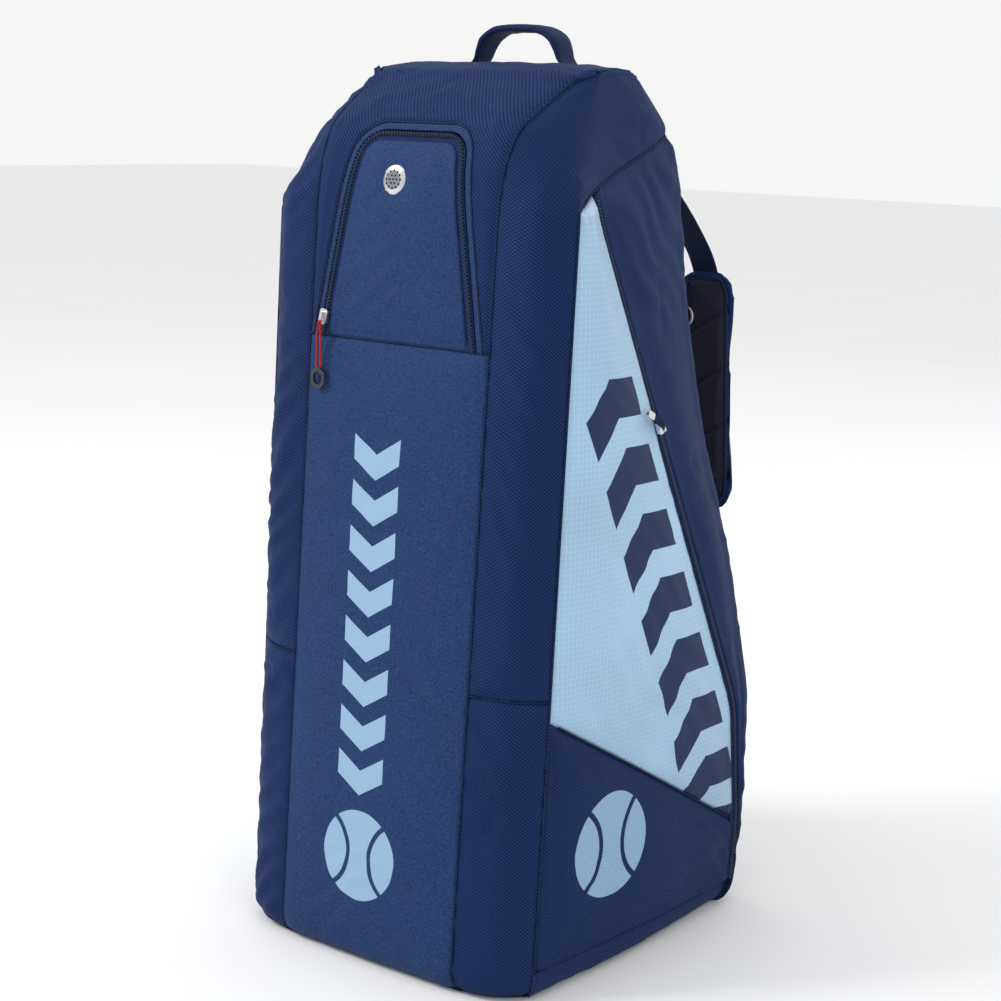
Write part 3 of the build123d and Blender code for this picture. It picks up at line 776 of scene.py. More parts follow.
RIB_NAVY = (0.0098, 0.031, 0.126)
WEAVE_NAVY = (0.0128, 0.044, 0.15)
NAVY_RIB = honeycomb_cloth("navy_ribbed_cloth", RIB_NAVY)
NAVY_RIB_PRINTED = honeycomb_cloth("navy_ribbed_cloth_printed", RIB_NAVY, graphics=door_foot_print)
NAVY_PLAIN = plain_cloth("navy_plain_cloth", WEAVE_NAVY)
NAVY_SPINE = plain_cloth("navy_spine_cloth", WEAVE_NAVY, graphics=spine_print)
LIGHT_SATIN = satin_cloth("light_satin_cloth")
LINING = plain_cloth("lining_cloth", (0.012, 0.014, 0.022), pitch=0.8, sheen=0.0)
TURNED_EDGE = plain_cloth("turned_edge_cloth", RIB_NAVY, sheen=0.0)
STRAP_MESH = mesh_cloth("strap_mesh_cloth", (0.013, 0.012, 0.032))
WEBBING = webbing_cloth("navy_webbing", (0.008, 0.016, 0.05))
HANDLE_WEBBING = webbing_cloth("handle_webbing_cloth", (0.010, 0.023, 0.085))
ZIP_TAPE = webbing_cloth("zip_tape_cloth", (0.010, 0.03, 0.11), pitch=1.2)
ZIP_TOOTH = plastic("zip_tooth_plastic", (0.006, 0.012, 0.04), 0.5)
PIPING = plain_cloth("piping_cloth", (0.004, 0.011, 0.045), pitch=0.8, sheen=0.0)
THREAD = thread("navy_thread", (0.02, 0.05, 0.15))
RED_CORD = webbing_cloth("red_cord_cloth", (0.62, 0.035, 0.02), pitch=1.3)
EYELET = eyelet_metal()
DARK_PLASTIC = plastic("dark_plastic", (0.016, 0.018, 0.024))
CHROME = metal("chrome_metal", (0.78, 0.79, 0.81), 0.12)
SILVER = metal("silver_metal", (0.62, 0.63, 0.65), 0.3)


# ---------------------------------------------------------------- more lines on the skin
# A place p on the front is its height up to RIDGE_P. From there it runs back over the ridge.
CROWN_Y = [(754, -54), (768, -41), (790, -20), (812, 2), (826, 15)]
CROWN_TOP = [(754, 754), (768, 758), (790, 760), (812, 759), (826, 755)]
CROWN_HALF = [(754, 109), (768, 117), (790, 118.5), (812, 118), (826, 115)]
GUSSET_END = 768        # where the front gusset meets the ridge's side edge, and the shoulder starts
CROWN_END = 826
FOLD_P = 534.0          # the fold that the pocket's flap hangs from
POCKET_Z, POCKET_TOP = 533.0, 705.0     # the pocket zip's foot and top
POCKET_HALF = 83.0                      # its half width at the foot
POCKET_SLOPE = 30.0 / 172.0             # and how fast it narrows upwards
POCKET_ROUND = 24.0


def front_half(p):
    return along(SPINE_X, p) if p <= RIDGE_P else straight(CROWN_HALF, p)


def on_front(x, p):
    """The front's point at x and p."""
    if p <= RIDGE_P:
        y, z = along(FRONT_Y, p), p
    else:
        y, z = straight(CROWN_Y, p), straight(CROWN_TOP, p)
    y -= FRONT_BULGE * (1 - (x / front_half(p)) ** 2) * max(0.0, min(1.0, (770 - p) / 60))
    return (x, y + SHIFT_Y, z)


def front_normal(p):
    """The front's outward direction at its middle."""
    _, y0, z0 = on_front(0, p - 1)
    _, y1, z1 = on_front(0, p + 1)
    length = math.hypot(y1 - y0, z1 - z0)
    return np.array((0.0, (z0 - z1) / length, (y1 - y0) / length))


def crown_edge(p):
    """The right seam of the front, which turns into the ridge's side edge."""
    return np.array(on_front(front_half(p), p))


def pocket_line(grow, legs=44, arc=16, top=14):
    """The pocket's zip line moved outwards by grow, as (x, p) pairs from the left foot to the right one."""
    lean = math.hypot(1, POCKET_SLOPE)
    foot = POCKET_HALF + grow * lean
    top_p = POCKET_TOP + grow
    r = POCKET_ROUND + grow
    centre_p = top_p - r
    centre_x = -(foot - POCKET_SLOPE * (centre_p - POCKET_Z)) + r * lean
    start = math.atan2(POCKET_SLOPE, -1)
    first = (centre_x + r * math.cos(start), centre_p + r * math.sin(start))
    foot_x = -(foot - POCKET_SLOPE * (FOLD_P - POCKET_Z))
    half = [mix2((foot_x, FOLD_P), first, k / legs) for k in range(legs)]
    for k in range(arc):
        a = start + (math.pi / 2 - start) * k / arc
        half.append((centre_x + r * math.cos(a), centre_p + r * math.sin(a)))
    half += [(centre_x * (1 - k / top), top_p) for k in range(top)]
    return half + [(0.0, top_p)] + [(-x, p) for x, p in reversed(half)]


def outer_line(legs=44, arc=16, top=14):
    """The yoke's and crown's outline, sampled to match pocket_line."""
    half = []
    bend = 724
    for low, high, steps in ((FOLD_P, bend, legs), (bend, CROWN_END, arc)):
        for k in range(steps):
            p = low + (high - low) * k / steps
            half.append((-front_half(p), p))
    half += [(-front_half(CROWN_END) * (1 - k / top), CROWN_END) for k in range(top)]
    return half + [(0.0, float(CROWN_END))] + [(-x, p) for x, p in reversed(half)]


def front_patch(inner, outer, rows, out=0.0):
    """A patch on the front between two lines. Its columns run along them, and outer is above inner."""
    grid = np.empty((rows, len(inner), 3))
    u = np.empty((rows, len(inner)))
    v = np.empty((rows, len(inner)))
    for c, (a, b) in enumerate(zip(inner, outer)):
        for r in range(rows):
            x, p = mix2(a, b, r / (rows - 1))
            grid[r, c] = on_front(x, p)
            u[r, c], v[r, c] = x, p
    if out:
        grid = grid + grid_normals(grid) * out
    return grid, u, v


def flap_patch(grow):
    """The inside of the pocket's line, in rows from its foot to its rounded top."""
    line = [q for q in pocket_line(grow, 60, 20, 1) if q[0] < 0][:-1]
    rows = []
    for x, p in line:
        if not rows or p - rows[-1][1] > 0.25:
            rows.append((x, p))
    cols = 2 * max(6, int(80 / GRID)) + 1
    grid = np.array([[on_front(x * (1 - 2 * c / (cols - 1)), p) for c in range(cols)] for x, p in rows])
    u = np.array([[x * (1 - 2 * c / (cols - 1)) for c in range(cols)] for x, p in rows])
    v = np.array([[p] * cols for _, p in rows])
    return grid, u, v


def shoulder_seam_z(y):
    """Height of the seam between the rear gusset and the shoulder."""
    return APEX_Z + 66 * (max(0.0, y - guide("hinge", APEX_Z)[1]) / 194) ** 0.85


def shoulder_seam(names, drop=0.0):
    """The seam's height as a function of the share across a stretch of wall."""
    def height(t):
        z = 670.0
        for _ in range(6):
            z = shoulder_seam_z(section(names, z, t)[1])
        return (APEX_Z if t == 0 and names[0] == "hinge" else z) - drop
    return height


def cross_seam_z(y):
    """Height of the slanting seam on a side door."""
    (y0, z0), (y1, z1) = DOOR_SEAM
    return z0 + (z1 - z0) * (y - y0) / (y1 - y0)


def door_seam(names):
    """The same as a function of the share across a stretch of wall."""
    def height(t):
        z = 160.0
        for _ in range(8):
            z = cross_seam_z(section(names, z, t)[1])
        return z
    return height


def meet_crown(grid, p0, p1, start_z=700):
    """Draws a grid's rows above start_z up to the ridge's edge between two places along it."""
    cols = grid.shape[1]
    target = np.array([crown_edge(p0 + (p1 - p0) * c / (cols - 1)) for c in range(cols)])
    low = grid[:, :, 2]
    share = np.clip((low - start_z) / np.maximum(low[-1:, :] - start_z, 1), 0, 1) ** 1.5
    return grid + (target - grid[-1])[None, :, :] * share[:, :, None]


# ---------------------------------------------------------------- placing pieces
def settle(obj, body, nodes=()):
    """Attaches a finished piece to its body's empty and hides the frame's parts that it stands for. A piece
    given no body is left unattached.
    """
    if body:
        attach(obj, body)
    if nodes:
        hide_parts(*nodes)
    return obj


def mirror_line(line, side):
    return np.asarray(line, float) * (1 if side == "right" else -1, 1, 1)


def mirror_patch(item, side):
    """A right-hand patch, or its mirror image with the columns turned round so that it still faces out."""
    if side == "right":
        return item
    grid, u, v = item
    grid = grid[:, ::-1].copy()
    grid[:, :, 0] *= -1
    return grid, -u[:, ::-1], v[:, ::-1]


def borders(item):
    """A patch's four border lines and the surface's normals along them: left, right, low, high."""
    grid = item[0]
    normal = grid_normals(grid)
    cuts = {"left": np.s_[:, 0], "right": np.s_[:, -1], "low": np.s_[0], "high": np.s_[-1]}
    return {name: (grid[cut], normal[cut]) for name, cut in cuts.items()}


def lines(rim, *names):
    """Some of a patch's border lines, without the normals."""
    return [rim[name][0] for name in names]


def run_on(first, second, start=1, stop=None):
    """Two border lines joined into one, with their normals."""
    return [np.concatenate([a, b[start:stop]]) for a, b in zip(first, second)]


def side_panel(side, name, patches, cloth, seams, edges, seed, left_step=10, **look):
    """A panel of the right side, or its mirror image with other folds."""
    if side == "left":
        seed += left_step
    return panel(f"{side}_{name}", [mirror_patch(item, side) for item in patches], cloth,
                 [mirror_line(line, side) for line in seams], [mirror_line(line, side) for line in edges],
                 seed=seed, **look)


def tape(name, item, cloth):
    """A thin flat strip of cloth."""
    return panel(name, [item], cloth, puff=0, folds=0, thick=1.2, lining=cloth)


def piping(name, line, normals, body, side="right", radius=0.75, lift=-2.2):
    """A thin folded welt that stands in a seam's groove."""
    normals = np.asarray(normals) / np.linalg.norm(normals, axis=1, keepdims=True)
    path = even(np.concatenate([line, normals], axis=1), GRID)
    points = mirror_line(path[:, :3] + path[:, 3:] * lift, side)
    obj = sweep(name, points, radius, radius, mirror_line(path[:, 3:], side), PIPING, sides=8, square=1.0)
    return settle(obj, body)


def stitches(name, line, normals, body, lift):
    """A row of stitches along a line."""
    path = even(np.concatenate([line, normals], axis=1), 4.2)
    points = path[:, :3] + path[:, 3:] * lift
    obj = beads(name, points, np.gradient(points, axis=0), path[:, 3:], 3.0, 0.33, THREAD)
    return settle(obj, body)


def coil(name, low, high, outwards, body, node, pitch=1.5, lift=0.1):
    """A closed zipper coil between two lines: short bars that reach in from each side by turns."""
    low, high = (np.asarray(line, float) for line in (low, high))
    run = run_along(low)
    count = int(run[-1] / (pitch * 1))
    s = np.linspace(0, run[-1], count)
    a, b, ups = (np.stack([np.interp(s, run, np.asarray(line)[:, k]) for k in range(3)], axis=1)
                 for line in (low, high, outwards))
    across = b - a
    turn = np.where(np.arange(count) % 2 == 0, 0.15, -0.15)[:, None]
    obj = beads(name, (a + b) / 2 + across * turn + ups * lift, across, ups, 2.9, 0.55, ZIP_TOOTH, flat=1.5)
    return settle(obj, body, [node])


# ---------------------------------------------------------------- front and pocket
def line_on_front(grow):
    return np.array([on_front(x, p) for x, p in pocket_line(grow)])


def build_front():
    """The spine's cloth up to the fold, the yoke round the pocket and the flange along the pocket's zip."""
    cols = int(190 / GRID) + 1
    rows = rows_between(FLOOR_CUT, FOLD_P)
    spine = patch(wall_grid(["-spine", "front", "spine"], FLOOR_CUT, FOLD_P, cols, rows))
    rim = borders(spine)
    obj = panel("spine_cloth", [spine], NAVY_SPINE, lines(rim, "left", "right", "high"), lines(rim, "low"),
                puff=3.5, folds=0.45, seed=1)
    settle(obj, "bag", ["spine_panel"])
    piping("fold_seam", *rim["high"], "bag", radius=0.9, lift=-1.9)

    yoke = front_patch(pocket_line(8.0), outer_line(), 30)
    rim = borders(yoke)
    obj = panel("yoke_cloth", [yoke], NAVY_RIB, lines(rim, "high"), lines(rim, "low"), puff=4.0, folds=0.8,
                seed=2, reach=5, lining=TURNED_EDGE)
    settle(obj, "bag", ["front_yoke", "crown_panel"])

    obj = tape("pocket_flange", front_patch(pocket_line(0.7), pocket_line(8.6), 5, out=-0.9), NAVY_PLAIN)
    settle(obj, "bag", ["pocket_yoke_tape"])
    edge = borders(front_patch(pocket_line(6.6), pocket_line(8.8), 3, out=-0.3))["low"]
    piping("pocket_flange_edge", *edge, "bag", radius=0.9, lift=-0.2)
    edge = borders(front_patch(pocket_line(4.9), pocket_line(6), 2, out=-0.9))["low"]
    stitches("pocket_flange_stitches", *edge, "bag", lift=0.1)


def build_flap():
    outwards = borders(front_patch(pocket_line(-3.1), pocket_line(0), 3))["low"][1]
    obj = tape("pocket_tape", front_patch(pocket_line(-9.6), pocket_line(-0.7), 5, out=-1.2), ZIP_TAPE)
    settle(obj, "pocket_flap", ["pocket_flap_tape"])
    coil("pocket_teeth", line_on_front(-5.6), line_on_front(-0.6), outwards, "pocket_flap", "pocket_coil")
    cloth = flap_patch(-8.8)
    rim = borders(cloth)
    obj = panel("flap_cloth", [cloth], NAVY_PLAIN, lines(rim, "low"), lines(rim, "left", "right", "high"),
                puff=3.2, folds=0.5, seed=3, dip=1.6, flat_round=on_front(*EYELET_AT))
    settle(obj, None, ["pocket_flap"])
    y = on_front(0, FOLD_P)[1] * MM
    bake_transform(obj)


# ---------------------------------------------------------------- sides, back and base
FRONT_GUSSET = ["spine", "gusset", "hinge"]
SHOULDER = ["hinge", "zip_out", "rear_mid", "corner_a", "corner", "corner_b"]
REAR = ["zip_out", "rear_mid", "corner_a", "corner", "corner_b"]
SILL = ["hinge", "door_mid", "zip_out"]
DOOR = ["hinge_in", "door_mid", "zip_in"]
BACK = ["corner_b", "back", "-corner_b"]
GUSSET_ACROSS = (0.60, 1.04)    # how the weave of gusset and shoulder grows with x and y
REAR_ACROSS = (-0.42, 0.97)
DOOR_ACROSS = (0.0, 1.0)
SIDEWAYS = np.array((1.0, 0, 0))
UPWARDS = np.array((0, 0, 1.0))
BACK_TURN_Z = 712               # the back starts to turn over the ridge at this height


def facing_patch(grid, across, start=0.0):
    """A patch whose weave runs level and upright, measured across in one direction of (x, y) from a start."""
    return grid, grid[:, :, 0] * across[0] + grid[:, :, 1] * across[1] + start, grid[:, :, 2]


def soften_corner(left, right):
    """Rounds the corner between two grids that share a column, but not in their lowest and highest rows."""
    both = np.concatenate([left, right[:, 1:]], axis=1)
    soft = both.copy()
    for _ in range(int(600 / GRID ** 2)):
        soft[:, 1:-1] = (soft[:, :-2] + 2 * soft[:, 1:-1] + soft[:, 2:]) / 4
    corner = left.shape[1] - 1
    near = np.exp(-((np.arange(both.shape[1]) - corner) * GRID / 34.0) ** 2)
    rows = np.arange(len(both)) * GRID
    inside = np.clip(np.minimum(rows, rows[::-1]) / 40.0, 0, 1)
    both += (soft - both) * near[None, :, None] * inside[:, None, None]
    return both[:, :corner + 1], both[:, corner:]


def upper_gusset():
    """The front gusset above its cross seam, the shoulder behind it, and the row of the door's apex."""
    cols = int(72 / GRID) + 2
    rows = rows_between(APEX_Z, RIDGE_P)
    low = wall_grid(FRONT_GUSSET, GUSSET_SEAM_Z, APEX_Z, cols, rows_between(GUSSET_SEAM_Z, APEX_Z))
    high = meet_crown(wall_grid(FRONT_GUSSET, APEX_Z, CROWN_Z, cols, rows), RIDGE_P, GUSSET_END)
    walls = wall_grid(SHOULDER, shoulder_seam(SHOULDER), CROWN_Z, int(230 / GRID), rows)
    high, shoulder = soften_corner(high, meet_crown(walls, GUSSET_END, CROWN_END))
    front = facing_patch(np.concatenate([low, high[1:]]), GUSSET_ACROSS)
    return front, facing_patch(shoulder, GUSSET_ACROSS), len(low) - 1


def build_gussets(side):
    cols = int(72 / GRID) + 2
    rows = rows_between(FLOOR_CUT, GUSSET_SEAM_Z)
    low = patch(wall_grid(FRONT_GUSSET, FLOOR_CUT, GUSSET_SEAM_Z, cols, rows))
    front, shoulder, apex = upper_gusset()
    low_rim, front_rim, shoulder_rim = borders(low), borders(front), borders(shoulder)
    obj = side_panel(side, "low_gusset", [low], NAVY_RIB, lines(low_rim, "left", "right", "high"),
                     lines(low_rim, "low"), seed=4, puff=4, folds=1.7)
    settle(obj, "bag", [f"{side}_gusset_lower"])
    seams = lines(front_rim, "left", "low", "high") + lines(shoulder_rim, "low", "high", "right")
    seams.append(front_rim["right"][0][:apex + 1])
    obj = side_panel(side, "gusset_and_shoulder", [front, shoulder], NAVY_RIB, seams, [], seed=5, puff=4,
                     folds=1.2, lining=TURNED_EDGE)
    settle(obj, "bag", [f"{side}_gusset_upper", f"{side}_shoulder"])

    spine, out = run_on(low_rim["left"], front_rim["left"])
    out = out + np.array([front_normal(min(p[2], RIDGE_P - 1)) for p in spine])
    ridge = np.linspace(RIDGE_P, 778, 7)
    line = np.concatenate([spine[:-1], [crown_edge(p) for p in ridge]])
    out = np.concatenate([out[:-1], [front_normal(p) + SIDEWAYS for p in ridge]])
    piping(f"{side}_spine_seam", line, out, "bag", side)
    hinge, out = run_on(low_rim["right"], front_rim["right"], stop=apex + 1)
    piping(f"{side}_hinge_seam", hinge, out + SIDEWAYS, "bag", side, radius=0.9, lift=-2.1)
    piping(f"{side}_gusset_cross_seam", *front_rim["low"], "bag", side, lift=-2.1)
    piping(f"{side}_shoulder_seam", *shoulder_rim["low"], "bag", side)


def build_rear(side):
    grid = wall_grid(REAR, FLOOR_CUT, shoulder_seam(REAR), int(190 / GRID), rows_between(FLOOR_CUT, 680))
    rear = facing_patch(grid, REAR_ACROSS)
    rim = borders(rear)
    obj = side_panel(side, "rear_cloth", [rear], NAVY_RIB, lines(rim, "high", "right"),
                     lines(rim, "low", "left"), seed=6, puff=4.5, folds=0.9)
    settle(obj, "bag", [f"{side}_rear_gusset"])
    back_line = run_on(rim["right"], borders(upper_gusset()[1])["right"], start=0)
    piping(f"{side}_back_seam", *back_line, "bag", side)


def lowered(item, depth):
    """A patch moved in, with the texture places that it had."""
    return (item[0] - grid_normals(item[0]) * depth, *item[1:])


def build_opening(side):
    """What the door closes on: the bag's zip tape and the sill under the door."""
    edge = ["zip_off", "zip_out"]
    strip = patch(wall_grid(edge, 26.0, shoulder_seam(edge, 1.0), 4, rows_between(26, 655)))
    obj = tape(f"{side}_bag_tape_cloth", mirror_patch(lowered(strip, 1.2), side), ZIP_TAPE)
    settle(obj, "bag", [f"{side}_bag_tape"])
    sill = patch(wall_grid(SILL, FLOOR_CUT, 26.0, int(290 / GRID), rows_between(1, 26)))
    obj = side_panel(side, "sill", [sill], NAVY_RIB, [], lines(borders(sill), "high"), seed=7, left_step=0,
                     puff=1, folds=0.3)
    settle(obj, "bag", [])


def door_cloth(side, name, item, cloth, node, seed):
    """One cloth of the door. The satin is sewn on at its top as well."""
    rim = borders(item)
    sewn, loose = ("left", "high"), ("low", "right")
    if name == "door_satin":
        sewn, loose = ("left", "low", "high"), ("right",)
    obj = side_panel(side, name, [item], cloth, lines(rim, *sewn), lines(rim, *loose), seed=seed, puff=5,
                     folds=0.7, dip=3.4, reach=5)
    settle(obj, None, [f"{side}_{node}"])
    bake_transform(obj)


def build_door(side):
    cols = int(250 / GRID)
    split = door_seam(DOOR)
    low = wall_grid(DOOR, DOOR_LOW, split, cols, rows_between(DOOR_LOW, 170))
    high = wall_grid(DOOR, split, shoulder_seam(DOOR, 2.0), cols, rows_between(170, 650))
    low, high = (facing_patch(grid, DOOR_ACROSS, DOOR_START) for grid in (low, high))
    door_cloth(side, "door_foot_cloth", low, NAVY_RIB_PRINTED, "door_lower", 8)
    door_cloth(side, "door_satin", high, LIGHT_SATIN, "door_upper", 9)
    line, out = (q[3:] for q in borders(low)["high"])
    piping(f"{side}_door_cross_seam", line, out, f"{side}_door", side, lift=-2.0)


def build_door_zip(side):
    edge = ["zip_in", "zip_on"]
    strip = patch(wall_grid(edge, DOOR_LOW, shoulder_seam(edge, 2.5), 4, rows_between(27, 655)))
    obj = tape(f"{side}_door_tape_cloth", mirror_patch(lowered(strip, 1.2), side), ZIP_TAPE)
    settle(obj, f"{side}_door", [f"{side}_door_tape"])
    out = grid_normals(strip[0])[:, -1]
    edge = ["coil_in", "zip_on"]
    seat = wall_grid(edge, DOOR_LOW, shoulder_seam(edge, 3.0), 2, len(strip[0]))
    low, high, out = (mirror_line(line, side) for line in (seat[:, 0], seat[:, 1], out))
    coil(f"{side}_side_teeth", low, high, out, f"{side}_door", f"{side}_door_coil")


def build_back():
    top = wall_grid(BACK, FLOOR_CUT, CROWN_Z, int(290 / GRID), rows_between(FLOOR_CUT, CROWN_Z))
    cols = top.shape[1]
    target = np.array([on_front(115 - 230 * c / (cols - 1), CROWN_END) for c in range(cols)])
    share = np.clip((top[:, :, 2] - BACK_TURN_Z) / (CROWN_Z - BACK_TURN_Z), 0, 1) ** 1.5
    item = patch(top + (target - top[-1])[None, :, :] * share[:, :, None])
    rim = borders(item)
    obj = panel("back_cloth", [item], NAVY_RIB, lines(rim, "left", "right", "high"), lines(rim, "low"),
                puff=3, folds=0.6, seed=10)
    settle(obj, "bag", ["back_panel"])
    line, out = (q[2:-2] for q in rim["high"])
    piping("ridge_rear_seam", line, out + UPWARDS, "bag", lift=-1.7)


def bottom_outline():
    """The lowest line of the walls, all the way round."""
    def lowest(names):
        return wall_grid(names, FLOOR_CUT, FLOOR_CUT + 1, 24, 2)[0]

    right = np.concatenate([lowest(names)[:-1] for names in (FRONT_GUSSET, SILL, REAR)])
    front = lowest(["-spine", "front", "spine"])[1:-1]
    return np.concatenate([front, right, lowest(BACK), right[::-1] * (-1, 1, 1)])


def build_base():
    ground = 0.4
    outline = bottom_outline()
    outline = np.concatenate([outline, outline[:1]])
    centre = outline[:-1].mean(axis=0)
    shares = np.linspace(0, 1, 26)[1:]
    grid = np.array([centre + (outline - centre) * s for s in shares])
    grid[:, :, 2] = ground + (FLOOR_CUT - ground) * shares[:, None] ** 10
    hub = np.tile(grid[0].mean(axis=0), (1, grid.shape[1], 1))
    obj = panel("base_cloth", [patch(np.concatenate([hub, grid]))], NAVY_PLAIN, puff=0, folds=0, thick=0.3)
    settle(obj, "bag", ["base_tray"])


# ---------------------------------------------------------------- inside
LINER_HALF, LINER_Z, LINER_DEPTH = 88, 622, 45.5
LINER_SIDES = 48
LINER_RINGS = [(6.5, 1.0), (14, 1.0), (22, 0.995), (30, 0.99), (38, 0.97), (43, 0.92), (45, 0.8), (45.5, 0.6),
               (45.5, 0.4), (45.5, 0.2), (45.5, 0.0)]       # depth behind the front, share of full size
DIVIDER_THICK = 4.8


def build_liner():
    """The pocket's lining: an open soft box behind the front's opening."""
    floor_y = on_front(0, POCKET_Z)[1] + LINER_DEPTH
    rows = []
    for depth, size in LINER_RINGS:
        row = []
        for k in range(LINER_SIDES):
            a = 2 * math.pi * (k + 0.5) / LINER_SIDES
            x = squared(math.cos(a), 0.25) * LINER_HALF * size
            z = LINER_Z + squared(math.sin(a), 0.25) * LINER_HALF * size
            front = on_front(max(-90, min(90, x)), max(535, min(714, z)))[1]
            y = front + (floor_y - front) * depth / LINER_DEPTH if depth < 45 else floor_y
            row.append((x, min(y, floor_y), z))
        rows.append(row + row[:1])
    obj = panel("pocket_lining", [patch(np.array(rows))], LINING, puff=0, folds=0.6, seed=21, thick=1.6)
    settle(obj, "bag", ["pocket_liner"])


def build_divider():
    """A sheet that parts the bag into two, and passes behind the pocket."""
    low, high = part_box("centre_divider")
    z0, z1 = low.z / MM, high.z / MM
    behind_pocket = on_front(0, POCKET_Z)[1] + 55
    rows = []
    for z in np.linspace(z0, z1, rows_between(z0, z1, 6)):
        front = on_front(0, min(z, 750))[1] + 11
        if z > 524:
            front = max(front, behind_pocket)
        rear = max(section(BACK, min(z, CROWN_Z), 0.5)[1] + SHIFT_Y - 9, front + 6)
        rows.append([(DIVIDER_THICK / 2, front + (rear - front) * t, z) for t in np.linspace(0, 1, 46)])
    item = patch(np.array(rows))
    obj = panel("divider_cloth", [item], LINING, puff=0.4, folds=0.8, seed=22, thick=DIVIDER_THICK)
    settle(obj, "bag", ["centre_divider"])


# ---------------------------------------------------------------- top handle
HANDLE_Y = 11 + SHIFT_Y
HANDLE_HALF = [(-54, 760.0), (-51, 760.6), (-47.5, 762.6), (-43.6, 767.5), (-41.0, 774.5), (-35.5, 783.5),
               (-24, 790.2), (-9, 792)]     # (x, z) from the left foot's end to near the middle
FOOT_AT = 50


def build_handle():
    """Folded webbing that stands up from two flat feet."""
    half = [(x, HANDLE_Y, z) for x, z in HANDLE_HALF]
    path = resample(half + [(-x, y, z) for x, y, z in half[::-1]], 2.5)
    share = np.abs(path[:, 0]) / 54
    wide = 14.6 - 2.4 * np.exp(-((share - 0.85) / 0.12) ** 2)
    thick = 1.4 + 2.1 * np.clip((0.9 - share) / 0.2, 0, 1)
    obj = sweep("handle_webbing", path, wide, thick, (0, 1, 0), HANDLE_WEBBING, sides=20, square=0.62,
                lumps=0.5, seed=3)
    settle(obj, None, ["top_handle", "handle_feet"])
    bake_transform(obj)


def build_handle_stitches():
    """A sewn box with a cross in it on each foot."""
    corners = [(-2, -11), (3, -11), (3, 11), (-2, 11)]
    sides = list(zip(corners, corners[1:] + corners[:1]))
    sides += [(corners[0], corners[2]), (corners[1], corners[3])]
    points, ahead, ups = [], [], []
    for foot in (-FOOT_AT, FOOT_AT):
        for ends in sides:
            line = even([(x + foot, y + HANDLE_Y, 762.2) for x, y in ends], 3.0)
            points.extend(line)
            ahead.extend([line[-1] - line[0]] * len(line))
            ups.extend([UPWARDS] * len(line))
    obj = beads("handle_stitches", points, ahead, ups, 2.3, 0.4, THREAD)
    settle(obj, "bag")


# ---------------------------------------------------------------- shoulder straps
STRAP_TOP = np.array((70.0, 68.0, 690.0))
STRAP_FOOT = np.array((100.0, 178.0, 95.0))
PAD_LINE = [(205, 583), (206.5, 560), (207, 530), (207, 465), (207, 400), (205.6, 375), (203, 354)]
PAD_HALF = 32.0
PAD_ROUND = 25.0
PAD_RIM = 7.5           # the cover's rim round the mesh of the inner face
QUILT_PITCH = 52.0


def strap_axes():
    up = STRAP_TOP - STRAP_FOOT
    across = np.cross((0, 1, 0), up)
    return up / np.linalg.norm(up), across / np.linalg.norm(across)


def strap_at(y, z):
    """A point of the right strap's middle line from its side view."""
    k = (z - STRAP_FOOT[2]) / (STRAP_TOP[2] - STRAP_FOOT[2])
    x = STRAP_FOOT[0] + k * (STRAP_TOP[0] - STRAP_FOOT[0])
    return np.array((x, y + SHIFT_Y, z))


def pad_half_width(s, length):
    """The pad's half width at a distance along it: its ends are rounded."""
    near = min(s, length - s)
    if near >= PAD_ROUND:
        return PAD_HALF
    return PAD_HALF - PAD_ROUND + math.sqrt(max(0.0, PAD_ROUND ** 2 - (PAD_ROUND - near) ** 2))


def pad_frame():
    line = resample([strap_at(y, z) for y, z in PAD_LINE], 3.0)
    tangent = np.gradient(line, axis=0)
    tangent /= np.linalg.norm(tangent, axis=1, keepdims=True)
    across = strap_axes()[1]
    out = np.cross(tangent, across)
    out /= np.linalg.norm(out, axis=1, keepdims=True)
    if out[:, 1].mean() < 0:
        out = -out
    return line, across, out, run_along(line)


def pad_start_mesh(name):
    """A thin closed lens of the pad's outline, for the cloth simulation to fill."""
    line, across, out, run = pad_frame()
    verts = []
    for p, o, s in zip(line, out, run):
        half = pad_half_width(s, run[-1])
        for k in range(24):
            a = 2 * math.pi * k / 24
            x, height = squared(math.cos(a), 0.6) * half, squared(math.sin(a), 0.75) * 5.2
            verts.append(p + across * x + o * height)
    return mesh_object(name, verts, tube_faces(len(line), 24))


def applied(obj, kind, name, **settings):
    """obj's mesh with one modifier applied."""
    modifier = obj.modifiers.new(name, kind)
    for key, value in settings.items():
        setattr(modifier, key, value)
    bpy.context.view_layer.update()
    mesh = bpy.data.meshes.new_from_object(obj.evaluated_get(bpy.context.evaluated_depsgraph_get()))
    obj.modifiers.clear()
    obj.data = mesh
    return obj


def coordinates(mesh):
    co = np.empty(len(mesh.vertices) * 3)
    mesh.vertices.foreach_get("co", co)
    return co.reshape(-1, 3)


